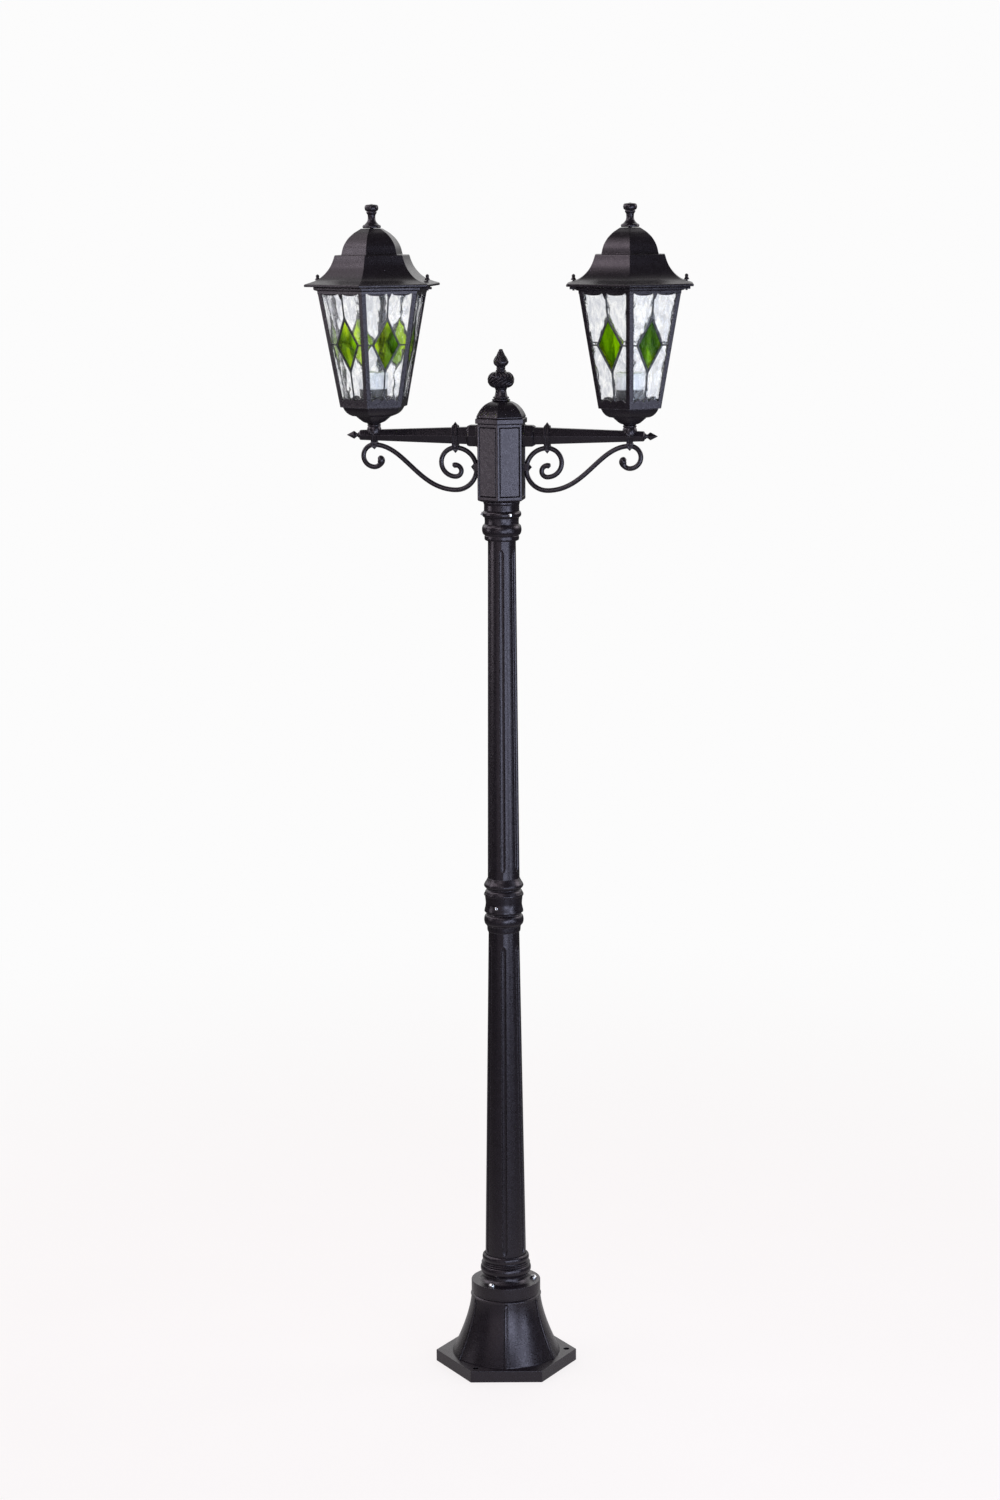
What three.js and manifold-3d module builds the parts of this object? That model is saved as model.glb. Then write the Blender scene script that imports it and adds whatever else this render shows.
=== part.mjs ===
// Garden lamp post: a bell-shaped foot, a fluted column in two lengths, and a head
// box that carries two arms with scrolls and two six-sided lanterns.
// Millimetres, +Z up. The origin is on the column's axis at the ground, and the
// arms run along X. Six-sided pieces have a corner towards -Y unless turned.
import * as THREE from "three";
import { mergeVertices } from "three/addons/utils/BufferGeometryUtils.js";
import Module from "manifold-3d";

const wasm = await Module();
wasm.setup();

// ---- Driving dimensions ----
const GAP = 0.3; // between pieces that touch
const ROUND = 16; // sides of a round piece
const HEX = 6;
const FOOT_TURN = 8.4; // degrees, foot and column against the head
const RIGHT_LANTERN_TURN = 5.9; // degrees, right lantern against its arm
const THIRDS = [0, 120, 240]; // degrees, places of the anchor holes and flange screws

const PLATE = { radius: 135, height: 22 };
const BELL = { top: 143, topRadius: 65.7, flare: 37.8, power: 1.63, wall: 7, roof: 12 };
const RIB = { width: 8, topRise: 1, flareRise: 4 };
const ANCHOR = { circle: 116, hole: 6 };
const CABLE_BORE = 34; // radius of the way through the foot's top and the flange

const FLANGE = { radius: 66, top: 165.5, neckTop: 218 };
const FLANGE_SCREW = { circle: 53, shank: 2, hole: 2.5, head: 4, headHeight: 3.5 };

const WALL = 3; // column tubes
const LOWER = { bottom: 180, top: 850, bottomRadius: 39.4, topRadius: 29 };
const UPPER = { bottom: 953.3, top: 1622, bottomRadius: 29.9, topRadius: 25.6 };
const SPIGOT = { radius: 26.7, lowerEnd: 898, upperEnd: 902 };
const SET_SCREW = { shank: 1.9, hole: 2.4, head: 3.4, headHeight: 2.6 };
const COUPLING = {
  bottom: 850.3, top: 953, bore: 27.2, screwZ: 899.8, screwSeat: 35.7, screwAngle: -113,
};
const COLLAR = { bottom: 1588.5, top: 1660, bore: 26.3, screwZ: 1637.8, screwSeat: 36.5 };
const COLLAR_HOLE_ANGLES = [-65, 175, 55];
const COLLAR_SCREWS = 2; // in the first of the holes

const BOX = { radius: 47.5, wall: 4, bottom: 1660.4, edge: 1671, floor: 1674, top: 1802.5 };
const BOX_SPIGOT = { radius: 25.3, bore: 21.5, bottom: 1626 };
const CAP = { radius: 51, bandTop: 1813, top: 1844.4, studHole: 4 };

const ARM_Z = 1781;
const REACH = 236.5; // lantern axis from the column's axis
const ARM = { start: 62.8, end: 262, startRadius: 17.9, endRadius: 10.4, bore: 5.5 };
const SLEEVE = { start: 41.5, end: 62.5, bore: 9, radius: 22, plateRadius: 23.4, socket: 15.6 };
const STEM = 5; // radius of the hollow stem on which a lantern turns
const ROD = 4.5; // radius of the scroll's rod
const ROD_ROOM = 1.2; // round the rod where it bends through a strap or clip
const CLAMP_X = 85;
const CLAMP_WIDTH = 11;
const CLIP_Z = -57.5; // below the arm's axis

const LANTERN = { base: 1833.3, baseRadius: 65.5, eave: 2046, eaveRadius: 106.6 };
const CAGE_WALL = 3.5; // measured at the corners
const WINDOW = { bottom: 1847, top: 2040, bar: 8, topSpike: 10, bottomSpike: 4, swag: 3 };
const PANE = { bottom: 1839, top: 2043, thickness: 3 };
const NUT_RADIUS = 102; // roof nuts from the lantern's axis
const ROOF_TOP = 2156.5;

// ---- Materials ----
const finish = (color, roughness, metalness) => ({ color, roughness, metalness });
const PAINT = finish(0x1c1b1f, 0.5, 0.4);
const CHROME = finish(0xd4d6d8, 0.15, 1);
const PORCELAIN = finish(0xf2f3f1, 0.3, 0);
const PLASTIC = finish(0x18181a, 0.6, 0);
const LEAD_SHEATH = finish(0x3a3a3c, 0.7, 0);
const GLASS = { ...finish(0xe8efe9, 0.1, 0), transparent: true, opacity: 0.35 };

function addPiece(parent, name, geometry, look) {
  const mesh = new THREE.Mesh(geometry, new THREE.MeshStandardMaterial(look));
  mesh.name = name;
  parent.add(mesh);
}

// ---- Shape helpers ----
const radians = THREE.MathUtils.degToRad;
const lerp = THREE.MathUtils.lerp;

// A profile of [radius, height] pairs turned about Z. It starts and ends on the axis.
function turned(profile, sides = ROUND) {
  const outline = profile.map(([r, z]) => new THREE.Vector2(r, z));
  return new THREE.LatheGeometry(outline, sides).rotateX(Math.PI / 2);
}

// A tube between two profiles, both listed from the bottom up. The outer one's first
// point closes the bottom.
function hollow(outer, inner, sides = ROUND) {
  return turned([...outer, ...[...inner].reverse(), outer[0]], sides);
}

function cylinder(radius, low, high, sides = ROUND) {
  return turned([[0, low], [radius, low], [radius, high], [0, high]], sides);
}

// Turns a piece made along Z so that it runs out along X.
const alongX = (geometry) => geometry.rotateY(Math.PI / 2);

// A half-ellipse on a turned profile, from low to high.
function bulge(edge, peak, low, high, steps = 4) {
  return Array.from({ length: steps + 1 }, (_, i) => {
    const angle = (Math.PI * i) / steps;
    const z = (low + high) / 2 - (Math.cos(angle) * (high - low)) / 2;
    return [edge + (peak - edge) * Math.sin(angle), z];
  });
}

// An outline of [x, y] pairs in a vertical plane, with a thickness centred on it.
function plate(outline, thickness) {
  const shape = outline instanceof THREE.Shape ? outline : new THREE.Shape(points2(outline));
  const options = { depth: thickness, bevelEnabled: false, curveSegments: 3 };
  return new THREE.ExtrudeGeometry(shape, options).translate(0, 0, -thickness / 2);
}

const points2 = (pairs) => pairs.map(([x, y]) => new THREE.Vector2(x, y));

// ---- Joining and cutting ----
function toSolid(geometry) {
  const bare = geometry.clone();
  bare.deleteAttribute("normal");
  bare.deleteAttribute("uv");
  const merged = mergeVertices(bare, 1e-3);
  const vertProperties = merged.attributes.position.array;
  const triVerts = Uint32Array.from(merged.index.array);
  return new wasm.Manifold(new wasm.Mesh({ numProp: 3, vertProperties, triVerts }));
}

function combine(body, { add = [], cut = [] }) {
  const joined = add.reduce((solid, extra) => solid.add(toSolid(extra)), toSolid(body));
  const mesh = cut.reduce((solid, tool) => solid.subtract(toSolid(tool)), joined).getMesh();
  const geometry = new THREE.BufferGeometry();
  geometry.setAttribute("position", new THREE.BufferAttribute(mesh.vertProperties, 3));
  geometry.setIndex(new THREE.BufferAttribute(mesh.triVerts, 1));
  geometry.computeVertexNormals();
  return geometry;
}

// ---- Foot and column ----
const bellRadius = (z) =>
  BELL.topRadius + BELL.flare * ((BELL.top - z) / (BELL.top - PLATE.height)) ** BELL.power;

function heights(low, high, steps) {
  return Array.from({ length: steps + 1 }, (_, i) => lerp(low, high, i / steps));
}

function bellRib(angle) {
  const share = (z) => (BELL.top - z) / (BELL.top - PLATE.height);
  const outside = heights(PLATE.height - 1, BELL.top, 6).map((z) => [
    bellRadius(z) + RIB.topRise + RIB.flareRise * share(z),
    z,
  ]);
  const inside = heights(PLATE.height - 1, BELL.top, 3).map((z) => [bellRadius(z) - WALL, z]);
  const outline = [...outside, ...inside.reverse()];
  return plate(outline, RIB.width).rotateX(Math.PI / 2).rotateZ(radians(angle));
}

function footBase() {
  const hexPlate = cylinder(PLATE.radius, 0, PLATE.height, HEX).rotateZ(radians(30));
  const sides = 24;
  const bell = turned(
    [[0, 1], ...heights(1, BELL.top, 7).map((z) => [bellRadius(Math.max(z, PLATE.height)), z]),
      [0, BELL.top]],
    sides,
  );
  const ceiling = BELL.top - BELL.roof;
  const cavity = turned(
    [[0, -1], [bellRadius(PLATE.height) - BELL.wall, -1],
      ...heights(PLATE.height, ceiling, 4).map((z) => [bellRadius(z) - BELL.wall, z]),
      [0, ceiling]],
    sides,
  );
  const anchors = THIRDS.map((angle) =>
    cylinder(ANCHOR.hole, -1, PLATE.height + 1).translate(ANCHOR.circle, 0, 0)
      .rotateZ(radians(angle)));
  const screwHoles = THIRDS.map((angle) =>
    cylinder(FLANGE_SCREW.hole, ceiling - 1, BELL.top + 1, 10)
      .translate(FLANGE_SCREW.circle, 0, 0).rotateZ(radians(angle)));
  return combine(hexPlate, {
    add: [bell, ...[-90, -30, 30, 90, 150, 210].map(bellRib)],
    cut: [cavity, cylinder(CABLE_BORE, ceiling - 1, BELL.top + 1), ...anchors, ...screwHoles],
  });
}

// The flange with its waisted neck and two rings. The lower tube stands in the neck.
function columnFlange() {
  const socket = LOWER.bottomRadius + 0.5;
  const body = hollow(
    [
      [CABLE_BORE, BELL.top + GAP], [FLANGE.radius, BELL.top + GAP],
      [FLANGE.radius, FLANGE.top], [48, FLANGE.top], [43, 169], [41, 176],
      ...bulge(44, 48.3, 180, 203), [42.6, 204],
      ...bulge(42.6, 44.5, 205, 216, 2), [40.6, FLANGE.neckTop],
    ],
    [
      [CABLE_BORE, LOWER.bottom - GAP], [socket, LOWER.bottom - GAP],
      [socket, FLANGE.neckTop],
    ],
  );
  const holes = THIRDS.map((angle) =>
    cylinder(FLANGE_SCREW.hole, BELL.top - 1, FLANGE.top + 1, 10)
      .translate(FLANGE_SCREW.circle, 0, 0).rotateZ(radians(angle)));
  return combine(body, { cut: holes });
}

function flangeScrew(angle) {
  const seat = FLANGE.top + GAP;
  const { shank, head, headHeight, circle } = FLANGE_SCREW;
  return turned(
    [[0, BELL.top - BELL.roof - 3], [shank, BELL.top - BELL.roof - 3], [shank, seat],
      [head, seat], [head, seat + headHeight / 2], [head * 0.6, seat + headHeight],
      [0, seat + headHeight]],
    10,
  ).translate(circle, 0, 0).rotateZ(radians(angle));
}

function lowerTube() {
  const { bottom, top, bottomRadius, topRadius } = LOWER;
  return hollow(
    [[bottomRadius, bottom], [topRadius, top], [SPIGOT.radius, top],
      [SPIGOT.radius, SPIGOT.lowerEnd]],
    [[bottomRadius - WALL, bottom], [SPIGOT.radius - WALL, top - 10],
      [SPIGOT.radius - WALL, SPIGOT.lowerEnd]],
  );
}

function upperTube() {
  const { bottom, top, bottomRadius, topRadius } = UPPER;
  return hollow(
    [[SPIGOT.radius, SPIGOT.upperEnd], [SPIGOT.radius, bottom], [bottomRadius, bottom],
      [topRadius, top]],
    [[SPIGOT.radius - WALL, SPIGOT.upperEnd], [topRadius - WALL, top]],
  );
}

// A set screw that points at the column's axis, from its tip out to its head.
function setScrew(tip, seat, z, angle) {
  const { shank, head, headHeight } = SET_SCREW;
  return alongX(turned(
    [[0, tip], [shank, tip], [shank, seat], [head, seat], [head, seat + headHeight],
      [0, seat + headHeight]],
    8,
  )).translate(0, 0, z).rotateZ(radians(angle));
}

const setScrewHole = (z, angle) =>
  alongX(cylinder(SET_SCREW.hole, 20, 60, 8)).translate(0, 0, z).rotateZ(radians(angle));

function midCoupling() {
  const { bottom, top, bore, screwZ, screwAngle } = COUPLING;
  const body = hollow(
    [[30.8, bottom], [31.3, 861], ...bulge(32, 37, 862.8, 882.6), [31.8, 885.5],
      [36.6, 888], [36.4, 890], [33.9, 904], [35.3, 914], ...bulge(35.3, 37.1, 915, 929, 2),
      [31.4, 932], [37.1, 938], [36.8, 941], [32, 948], [30.2, top]],
    [[bore, bottom], [bore, top]],
  );
  return combine(body, { cut: [setScrewHole(screwZ, screwAngle)] });
}

function topCollar() {
  const { bottom, top, bore, screwZ } = COLLAR;
  const body = hollow(
    [[30, bottom], [32, bottom + 2], [32, 1598], ...bulge(32, 36.4, 1599, 1619),
      [31.7, 1620.5], [31.7, 1631], ...bulge(32.5, 36.1, 1632, 1643, 3), [32.9, top - 3],
      [34, top]],
    [[bore, bottom], [bore, top]],
  );
  const holes = COLLAR_HOLE_ANGLES.map((angle) => setScrewHole(screwZ, angle));
  return combine(body, { cut: holes });
}

function buildColumn() {
  const column = new THREE.Group();
  addPiece(column, "foot_base", footBase(), PAINT);
  addPiece(column, "column_flange", columnFlange(), PAINT);
  THIRDS.forEach((angle, i) =>
    addPiece(column, `flange_screw_${i + 1}`, flangeScrew(angle), CHROME));
  addPiece(column, "lower_tube", lowerTube(), PAINT);
  addPiece(column, "mid_coupling", midCoupling(), PAINT);
  const { bore, screwSeat, screwZ, screwAngle } = COUPLING;
  addPiece(column, "coupling_screw", setScrew(bore, screwSeat, screwZ, screwAngle), CHROME);
  addPiece(column, "upper_tube", upperTube(), PAINT);
  addPiece(column, "top_collar", topCollar(), PAINT);
  COLLAR_HOLE_ANGLES.slice(0, COLLAR_SCREWS).forEach((angle, i) => {
    const screw = setScrew(COLLAR.bore, COLLAR.screwSeat, COLLAR.screwZ, angle);
    addPiece(column, `collar_screw_${i + 1}`, screw, CHROME);
  });
  column.rotation.z = radians(FOOT_TURN);
  return column;
}

// ---- Head box ----
function headBox() {
  const { radius, wall, bottom, edge, floor, top } = BOX;
  const shell = turned([[0, bottom], [36.5, bottom], [radius, edge], [radius, top], [0, top]], HEX);
  return combine(shell, {
    add: [cylinder(BOX_SPIGOT.radius, BOX_SPIGOT.bottom, floor - 2)],
    cut: [
      cylinder(radius - wall, floor, top + 1, HEX),
      cylinder(BOX_SPIGOT.bore, BOX_SPIGOT.bottom - 1, floor + 1),
      alongX(cylinder(8, -60, 60, 12)).translate(0, 0, ARM_Z),
    ],
  });
}

function headCap() {
  const { radius, bandTop, top, studHole } = CAP;
  const seat = BOX.top + GAP;
  const lip = BOX.radius - BOX.wall - 0.7;
  return hollow(
    [[lip - 2.5, seat - 6], [lip, seat - 6], [lip, seat], [radius, seat], [radius, bandTop],
      [48.5, bandTop + 0.5], [46.5, 1821], [41.5, 1829.5], [33, 1837.5], [23, 1842.5],
      [15.5, top]],
    [[lip - 2.5, seat + 3], [44.5, bandTop - 1], [43, 1820], [38.5, 1827.5], [31, 1834.5],
      [22, 1839], [studHole, 1841], [studHole, top]],
    HEX,
  );
}

// A bud over a bulb on a waisted neck, with a stud below.
function headFinial() {
  const seat = CAP.top + GAP;
  return turned(
    [[0, seat - 9], [2.8, seat - 9], [2.8, seat], [17, seat], [17, 1847.8],
      [14.6, 1848.6], [14.6, 1852], [11.4, 1855.5], [10.2, 1861], [10.2, 1866],
      ...bulge(11, 24.2, 1868, 1897.5, 6), [9.2, 1899], [8, 1903.4], [9, 1906.8],
      [14.4, 1915.5], [12.6, 1922], [3.8, 1937], [0, 1938.5]],
    12,
  );
}

function terminalBlock() {
  const [width, depth, height] = [24, 12, 14];
  return new THREE.BoxGeometry(width, depth, height)
    .translate(0, 30, BOX.floor + GAP + height / 2);
}

// ---- Arm, built along +X with the arm's axis at z = 0 ----
const armRadius = (x) =>
  lerp(ARM.startRadius, ARM.endRadius, (x - ARM.start) / (ARM.end - ARM.start));

function armSleeve() {
  const { start, end, bore, radius, plateRadius, socket } = SLEEVE;
  return alongX(hollow(
    [[bore, start], [plateRadius, start], [plateRadius, start + 3], [radius, start + 3.1],
      [radius, end]],
    [[bore, start + 4], [socket, start + 4], [socket, end]],
    HEX,
  ));
}

function armBar() {
  const { start, end, startRadius, endRadius, bore } = ARM;
  const spigot = SLEEVE.socket - 0.6;
  const bar = alongX(turned(
    [[0, SLEEVE.start + 4.5], [spigot, SLEEVE.start + 4.5], [spigot, start],
      [startRadius, start], [endRadius, end], [endRadius - 2, end + 2], [0, end + 2]],
    HEX,
  ));
  return combine(bar, {
    cut: [
      alongX(cylinder(bore, SLEEVE.start, REACH + 6, 12)),
      cylinder(bore, 0, 20, 12).translate(REACH, 0, 0),
    ],
  });
}

function armTip() {
  const start = ARM.end + 2 + GAP;
  return alongX(turned(
    [[0, start], [5.5, start], [5.5, start + 1.5], [3.5, start + 2.5], [4.2, start + 6],
      [7.2, start + 10], [0, 288]],
    8,
  ));
}

// Points on a circular arc in the arm's vertical plane, angles in degrees.
function arc(x, z, radius, from, to, steps) {
  return Array.from({ length: steps + 1 }, (_, i) => {
    const angle = radians(lerp(from, to, i / steps));
    return new THREE.Vector3(x + radius * Math.cos(angle), 0, z + radius * Math.sin(angle));
  });
}

// One bent rod: inner curl, large loop, sweep out along the arm, outer loop and curl.
function scrollPath() {
  const sweep = new THREE.CubicBezierCurve3(
    new THREE.Vector3(CLAMP_X, 0, -100.4),
    new THREE.Vector3(CLAMP_X + 70, 0, -100.4),
    new THREE.Vector3(REACH - 56, 0, -17.5),
    new THREE.Vector3(REACH, 0, -17.5),
  );
  const stretches = [
    arc(CLAMP_X, -65, 10.8, 70, 270, 5),
    arc(CLAMP_X, -49, 26.8, -90, 90, 8),
    arc(CLAMP_X, -61.3, 39.1, 90, 270, 10),
    sweep.getPoints(8),
    arc(REACH, -38.3, 20.8, 90, -90, 7),
    arc(REACH, -46, 13.1, 270, 200, 3),
    arc(REACH - 6.2, -48.2, 6.5, 200, 60, 4),
  ];
  // Each stretch starts where the one before it ends.
  return new THREE.CatmullRomCurve3(
    stretches.flatMap((points, i) => (i === 0 ? points : points.slice(1))));
}

// A rod of the given radius along a path.
function rod(path, radius, sides, steps) {
  const section = Array.from({ length: sides }, (_, i) => {
    const angle = (2 * Math.PI * i) / sides;
    return new THREE.Vector2(radius * Math.cos(angle), radius * Math.sin(angle));
  });
  const options = { steps, extrudePath: path, bevelEnabled: false };
  return new THREE.ExtrudeGeometry(new THREE.Shape(section), options);
}

// A strap round the bar and the scroll's rod, with pointed ends. Its outline lies
// in the plane across the arm, with y upwards.
function strap(x, barRadius, rodZ, tipZ, crown) {
  const side = barRadius + 3.4;
  const flat = side * Math.sin(radians(60));
  const half = [[side / 2, flat], [side, 0], [side / 2, -flat], [7.5, rodZ - 5]];
  const mirrored = half.map(([y, z]) => [-y, z]).reverse();
  const outline = [...half, [0, tipZ], ...mirrored, [0, flat + crown]].reverse();
  const clearBar = barRadius + (CLAMP_WIDTH / 2) * 0.04 + 0.5;
  const clearRod = ROD + ROD_ROOM;
  return combine(plate(outline, CLAMP_WIDTH).rotateX(Math.PI / 2).rotateZ(Math.PI / 2)
    .translate(x, 0, 0), {
    cut: [
      alongX(cylinder(clearBar, x - 20, x + 20, HEX)),
      alongX(cylinder(clearRod, x - 20, x + 20, 12)).translate(0, 0, rodZ),
    ],
  });
}

const innerClamp = () => strap(CLAMP_X, armRadius(CLAMP_X), -22.2, -32.3, 4);

// The strap under the lantern, cast in one with the bead that the lantern turns on.
function lanternSaddle() {
  const bead = turned([[0, 2], ...bulge(9, 13, 3, 20), [0, 20]]).translate(REACH, 0, 0);
  const clearBar = armRadius(REACH) + 0.7;
  return combine(strap(REACH, armRadius(REACH), -17.5, -26.5, 0), {
    add: [bead],
    cut: [
      alongX(cylinder(clearBar, REACH - 20, REACH + 20, HEX)),
      cylinder(ARM.bore, 0, 30, 12).translate(REACH, 0, 0),
    ],
  });
}

// The pointed clip that holds the scroll's loop on the head box.
function scrollClip() {
  const back = SLEEVE.start;
  const outline = [[back, -8], [50, -8], [56, 0], [50, 8], [back, 8]];
  const body = plate(outline, 14).rotateX(Math.PI / 2).translate(0, 0, CLIP_Z);
  const channel = cylinder(ROD + ROD_ROOM, CLIP_Z - 12, CLIP_Z + 12, 12).translate(46.4, 0, 0);
  return combine(body, { cut: [channel] });
}

function buildArm(side) {
  const arm = new THREE.Group();
  addPiece(arm, `${side}_arm_sleeve`, armSleeve(), PAINT);
  addPiece(arm, `${side}_arm_bar`, armBar(), PAINT);
  addPiece(arm, `${side}_arm_tip`, armTip(), PAINT);
  addPiece(arm, `${side}_scroll`, rod(scrollPath(), ROD, 6, 52), PAINT);
  addPiece(arm, `${side}_scroll_clip`, scrollClip(), PAINT);
  addPiece(arm, `${side}_inner_clamp`, innerClamp(), PAINT);
  addPiece(arm, `${side}_lantern_saddle`, lanternSaddle(), PAINT);
  arm.position.z = ARM_Z;
  arm.rotation.z = side === "left" ? Math.PI : 0;
  return arm;
}

// The lead from the terminal block, through the arm, up into the lamp holder.
function lampLead(sign) {
  const route = [
    [8, 30, 1688.7], [9, 29, 1708], [13, 23, 1740], [24, 9, 1770], [42, 1, ARM_Z],
    [70, 0, ARM_Z], [120, 0, ARM_Z], [175, 0, ARM_Z], [222, 0, ARM_Z], [230.5, 0, ARM_Z + 0.8],
    [235.4, 0, ARM_Z + 5], [REACH, 0, ARM_Z + 12], [REACH, 0, ARM_Z + 32], [REACH, 0, 1833],
  ];
  const path = new THREE.CatmullRomCurve3(
    route.map(([x, y, z]) => new THREE.Vector3(sign * x, y, z)));
  return rod(path, 2, 6, 44);
}

// ---- Lantern, built about Z at its own axis ----
const cageRadius = (z) =>
  lerp(LANTERN.baseRadius, LANTERN.eaveRadius,
    (z - LANTERN.base) / (LANTERN.eave - LANTERN.base));
const COS30 = Math.cos(Math.PI / 6);
const FACE_TILT = Math.atan2(
  (LANTERN.eaveRadius - LANTERN.baseRadius) * COS30,
  LANTERN.eave - LANTERN.base,
);

function lanternBowl() {
  const top = LANTERN.base - GAP;
  const bottom = ARM_Z + 20 + GAP;
  const bowl = turned(
    [[0, bottom], [13.5, bottom], [15.5, 1803], [20.5, 1804.5], [27, 1809], [34, 1815],
      [43.5, 1817], [47.5, 1818.5], [53, 1822.5], [57, 1827], [60, top], [0, top]],
    HEX,
  );
  const cavity = turned([[0, 1821], [46, 1821], [53, 1828], [55.5, top + 1], [0, top + 1]], HEX);
  return combine(bowl, { cut: [cavity, cylinder(ARM.bore, bottom - 1, 1822, 12)] });
}

// A window in a face: plain sides, swags and a spike at the top and the bottom.
// Heights run up the sloping face from its foot.
function windowOutline() {
  const { bottom, top, bar, topSpike, bottomSpike, swag } = WINDOW;
  const slope = (z) => (z - LANTERN.base) / Math.cos(FACE_TILT);
  const [low, high] = [slope(bottom), slope(top)];
  const [lowHalf, highHalf] = [cageRadius(bottom) / 2 - bar, cageRadius(top) / 2 - bar];
  const shape = new THREE.Shape();
  shape.moveTo(lowHalf, low);
  shape.lineTo(highHalf, high);
  shape.quadraticCurveTo(highHalf / 2, high - 2 * swag, 4, high);
  shape.lineTo(0, high - topSpike);
  shape.lineTo(-4, high);
  shape.quadraticCurveTo(-highHalf / 2, high - 2 * swag, -highHalf, high);
  shape.lineTo(-lowHalf, low);
  shape.quadraticCurveTo(-lowHalf / 2, low + 2 * swag, -3, low);
  shape.lineTo(0, low + bottomSpike);
  shape.lineTo(3, low);
  shape.quadraticCurveTo(lowHalf / 2, low + 2 * swag, lowHalf, low);
  return shape;
}

// Leans a panel drawn in its face's plane, and sets it on face number i.
function onFace(panel, apothem, i) {
  return panel
    .rotateX(Math.PI / 2 + FACE_TILT)
    .translate(0, -apothem, LANTERN.base)
    .rotateZ(radians(30 + 60 * i));
}

function lanternCage() {
  const { base, baseRadius, eave, eaveRadius } = LANTERN;
  const lip = { radius: 54, top: base + 3.7 };
  const flange = { radius: 113, top: 2050.8 };
  const frame = hollow(
    [[lip.radius, base], [baseRadius, base], [eaveRadius, eave], [flange.radius, eave + 0.3],
      [flange.radius, flange.top]],
    [[lip.radius, lip.top], [cageRadius(lip.top) - CAGE_WALL, lip.top],
      [cageRadius(flange.top) - CAGE_WALL, flange.top]],
    HEX,
  );
  const windows = [0, 1, 2, 3, 4, 5].map((i) =>
    onFace(plate(windowOutline(), 16), baseRadius * COS30, i));
  const lug = (sign) => new THREE.BoxGeometry(14, 14, 4.5)
    .translate(sign * NUT_RADIUS, 0, flange.top - 2.25);
  const lugHole = (sign) => cylinder(2.6, eave - 5, flange.top + 5, 8)
    .translate(sign * NUT_RADIUS, 0, 0);
  return combine(frame, { add: [lug(-1), lug(1)], cut: [...windows, lugHole(-1), lugHole(1)] });
}

// A flat pane behind window number i, narrow enough to meet its neighbours' edges.
function pane(i) {
  const { bottom, top, thickness } = PANE;
  const slope = (z) => (z - LANTERN.base) / Math.cos(FACE_TILT);
  const setBack = CAGE_WALL * COS30 + (GAP + thickness) / Math.cos(FACE_TILT);
  const half = (z) => (cageRadius(z) * COS30 - setBack) / Math.sqrt(3) - GAP;
  const outline = [
    [-half(bottom), slope(bottom)], [half(bottom), slope(bottom)],
    [half(top), slope(top)], [-half(top), slope(top)],
  ];
  return onFace(plate(outline, thickness), LANTERN.baseRadius * COS30 - setBack +
    thickness / 2 / Math.cos(FACE_TILT), i);
}

// The holder's foot in the bowl. Its hollow stem goes down into the bead on the arm.
const holderBase = () => turned(
  [[0, 1842], [3.2, 1842], [3.2, ARM_Z + 12], [STEM, ARM_Z + 12], [STEM, 1821.3],
    [22, 1821.3], [22, 1850], [25, 1852], [25, 1865], [0, 1865]]);

const lampHolder = () => turned(
  [[0, 1865.3], [26.3, 1865.3], [26.3, 1894], [25, 1896.5], [14.5, 1896.5], [14.5, 1870],
    [0, 1870]]);

function roof() {
  const shell = hollow(
    [[100, 2051.1], [114, 2051.1], [116, 2052.5], [131.6, 2052.5], [131.6, 2057],
      [127, 2059.4], [106, 2064], [95, 2072], [87, 2079.9], [80.4, 2087.8], [74.6, 2098.8],
      [71.8, 2108.6], [59.2, 2109.2], [53.8, 2127.3], [46.4, 2138.4], [35.2, 2147.9],
      [20.8, ROOF_TOP]],
    [[98, 2060], [89, 2071], [80, 2081.5], [72, 2094], [68.5, 2105], [56, 2106],
      [50.3, 2125], [43.3, 2135.3], [32.8, 2144], [19, 2152.3], [4.8, 2153], [4.8, ROOF_TOP]],
    HEX,
  );
  const holes = [-1, 1].map((sign) =>
    cylinder(2.6, 2050, 2070, 8).translate(sign * NUT_RADIUS, 0, 0));
  return combine(shell, { cut: holes });
}

function roofFinial() {
  const seat = ROOF_TOP + GAP;
  return turned(
    [[0, seat - 9], [3.2, seat - 9], [3.2, seat], [16.8, seat], [16.8, 2162],
      [14.6, 2163.2], [9.4, 2167], [7, 2171.3], [6.8, 2177], [7.2, 2181.2], [9.3, 2184],
      [9.5, 2187], ...bulge(10, 12.5, 2187.6, 2199.8), [0, 2200.2]],
    12,
  );
}

const roofNut = (sign) => turned(
  [[0, 2044], [2, 2044], [2, 2063], [4.6, 2063], [3.2, 2067], [2.2, 2069], [2.7, 2071.5],
    [0, 2073.8]],
  8,
).translate(sign * NUT_RADIUS, 0, 0);

function buildLantern(side) {
  const lantern = new THREE.Group();
  addPiece(lantern, `${side}_bowl`, lanternBowl(), PAINT);
  addPiece(lantern, `${side}_cage`, lanternCage(), PAINT);
  for (let i = 0; i < 6; i += 1) {
    addPiece(lantern, `${side}_pane_${i + 1}`, pane(i), GLASS);
  }
  addPiece(lantern, `${side}_holder_base`, holderBase(), PLASTIC);
  addPiece(lantern, `${side}_lamp_holder`, lampHolder(), PORCELAIN);
  addPiece(lantern, `${side}_roof`, roof(), PAINT);
  addPiece(lantern, `${side}_roof_finial`, roofFinial(), PAINT);
  addPiece(lantern, `${side}_roof_nut_1`, roofNut(-1), PAINT);
  addPiece(lantern, `${side}_roof_nut_2`, roofNut(1), PAINT);
  lantern.position.x = side === "left" ? -REACH : REACH;
  lantern.rotation.z = side === "left" ? 0 : radians(RIGHT_LANTERN_TURN);
  return lantern;
}

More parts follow.
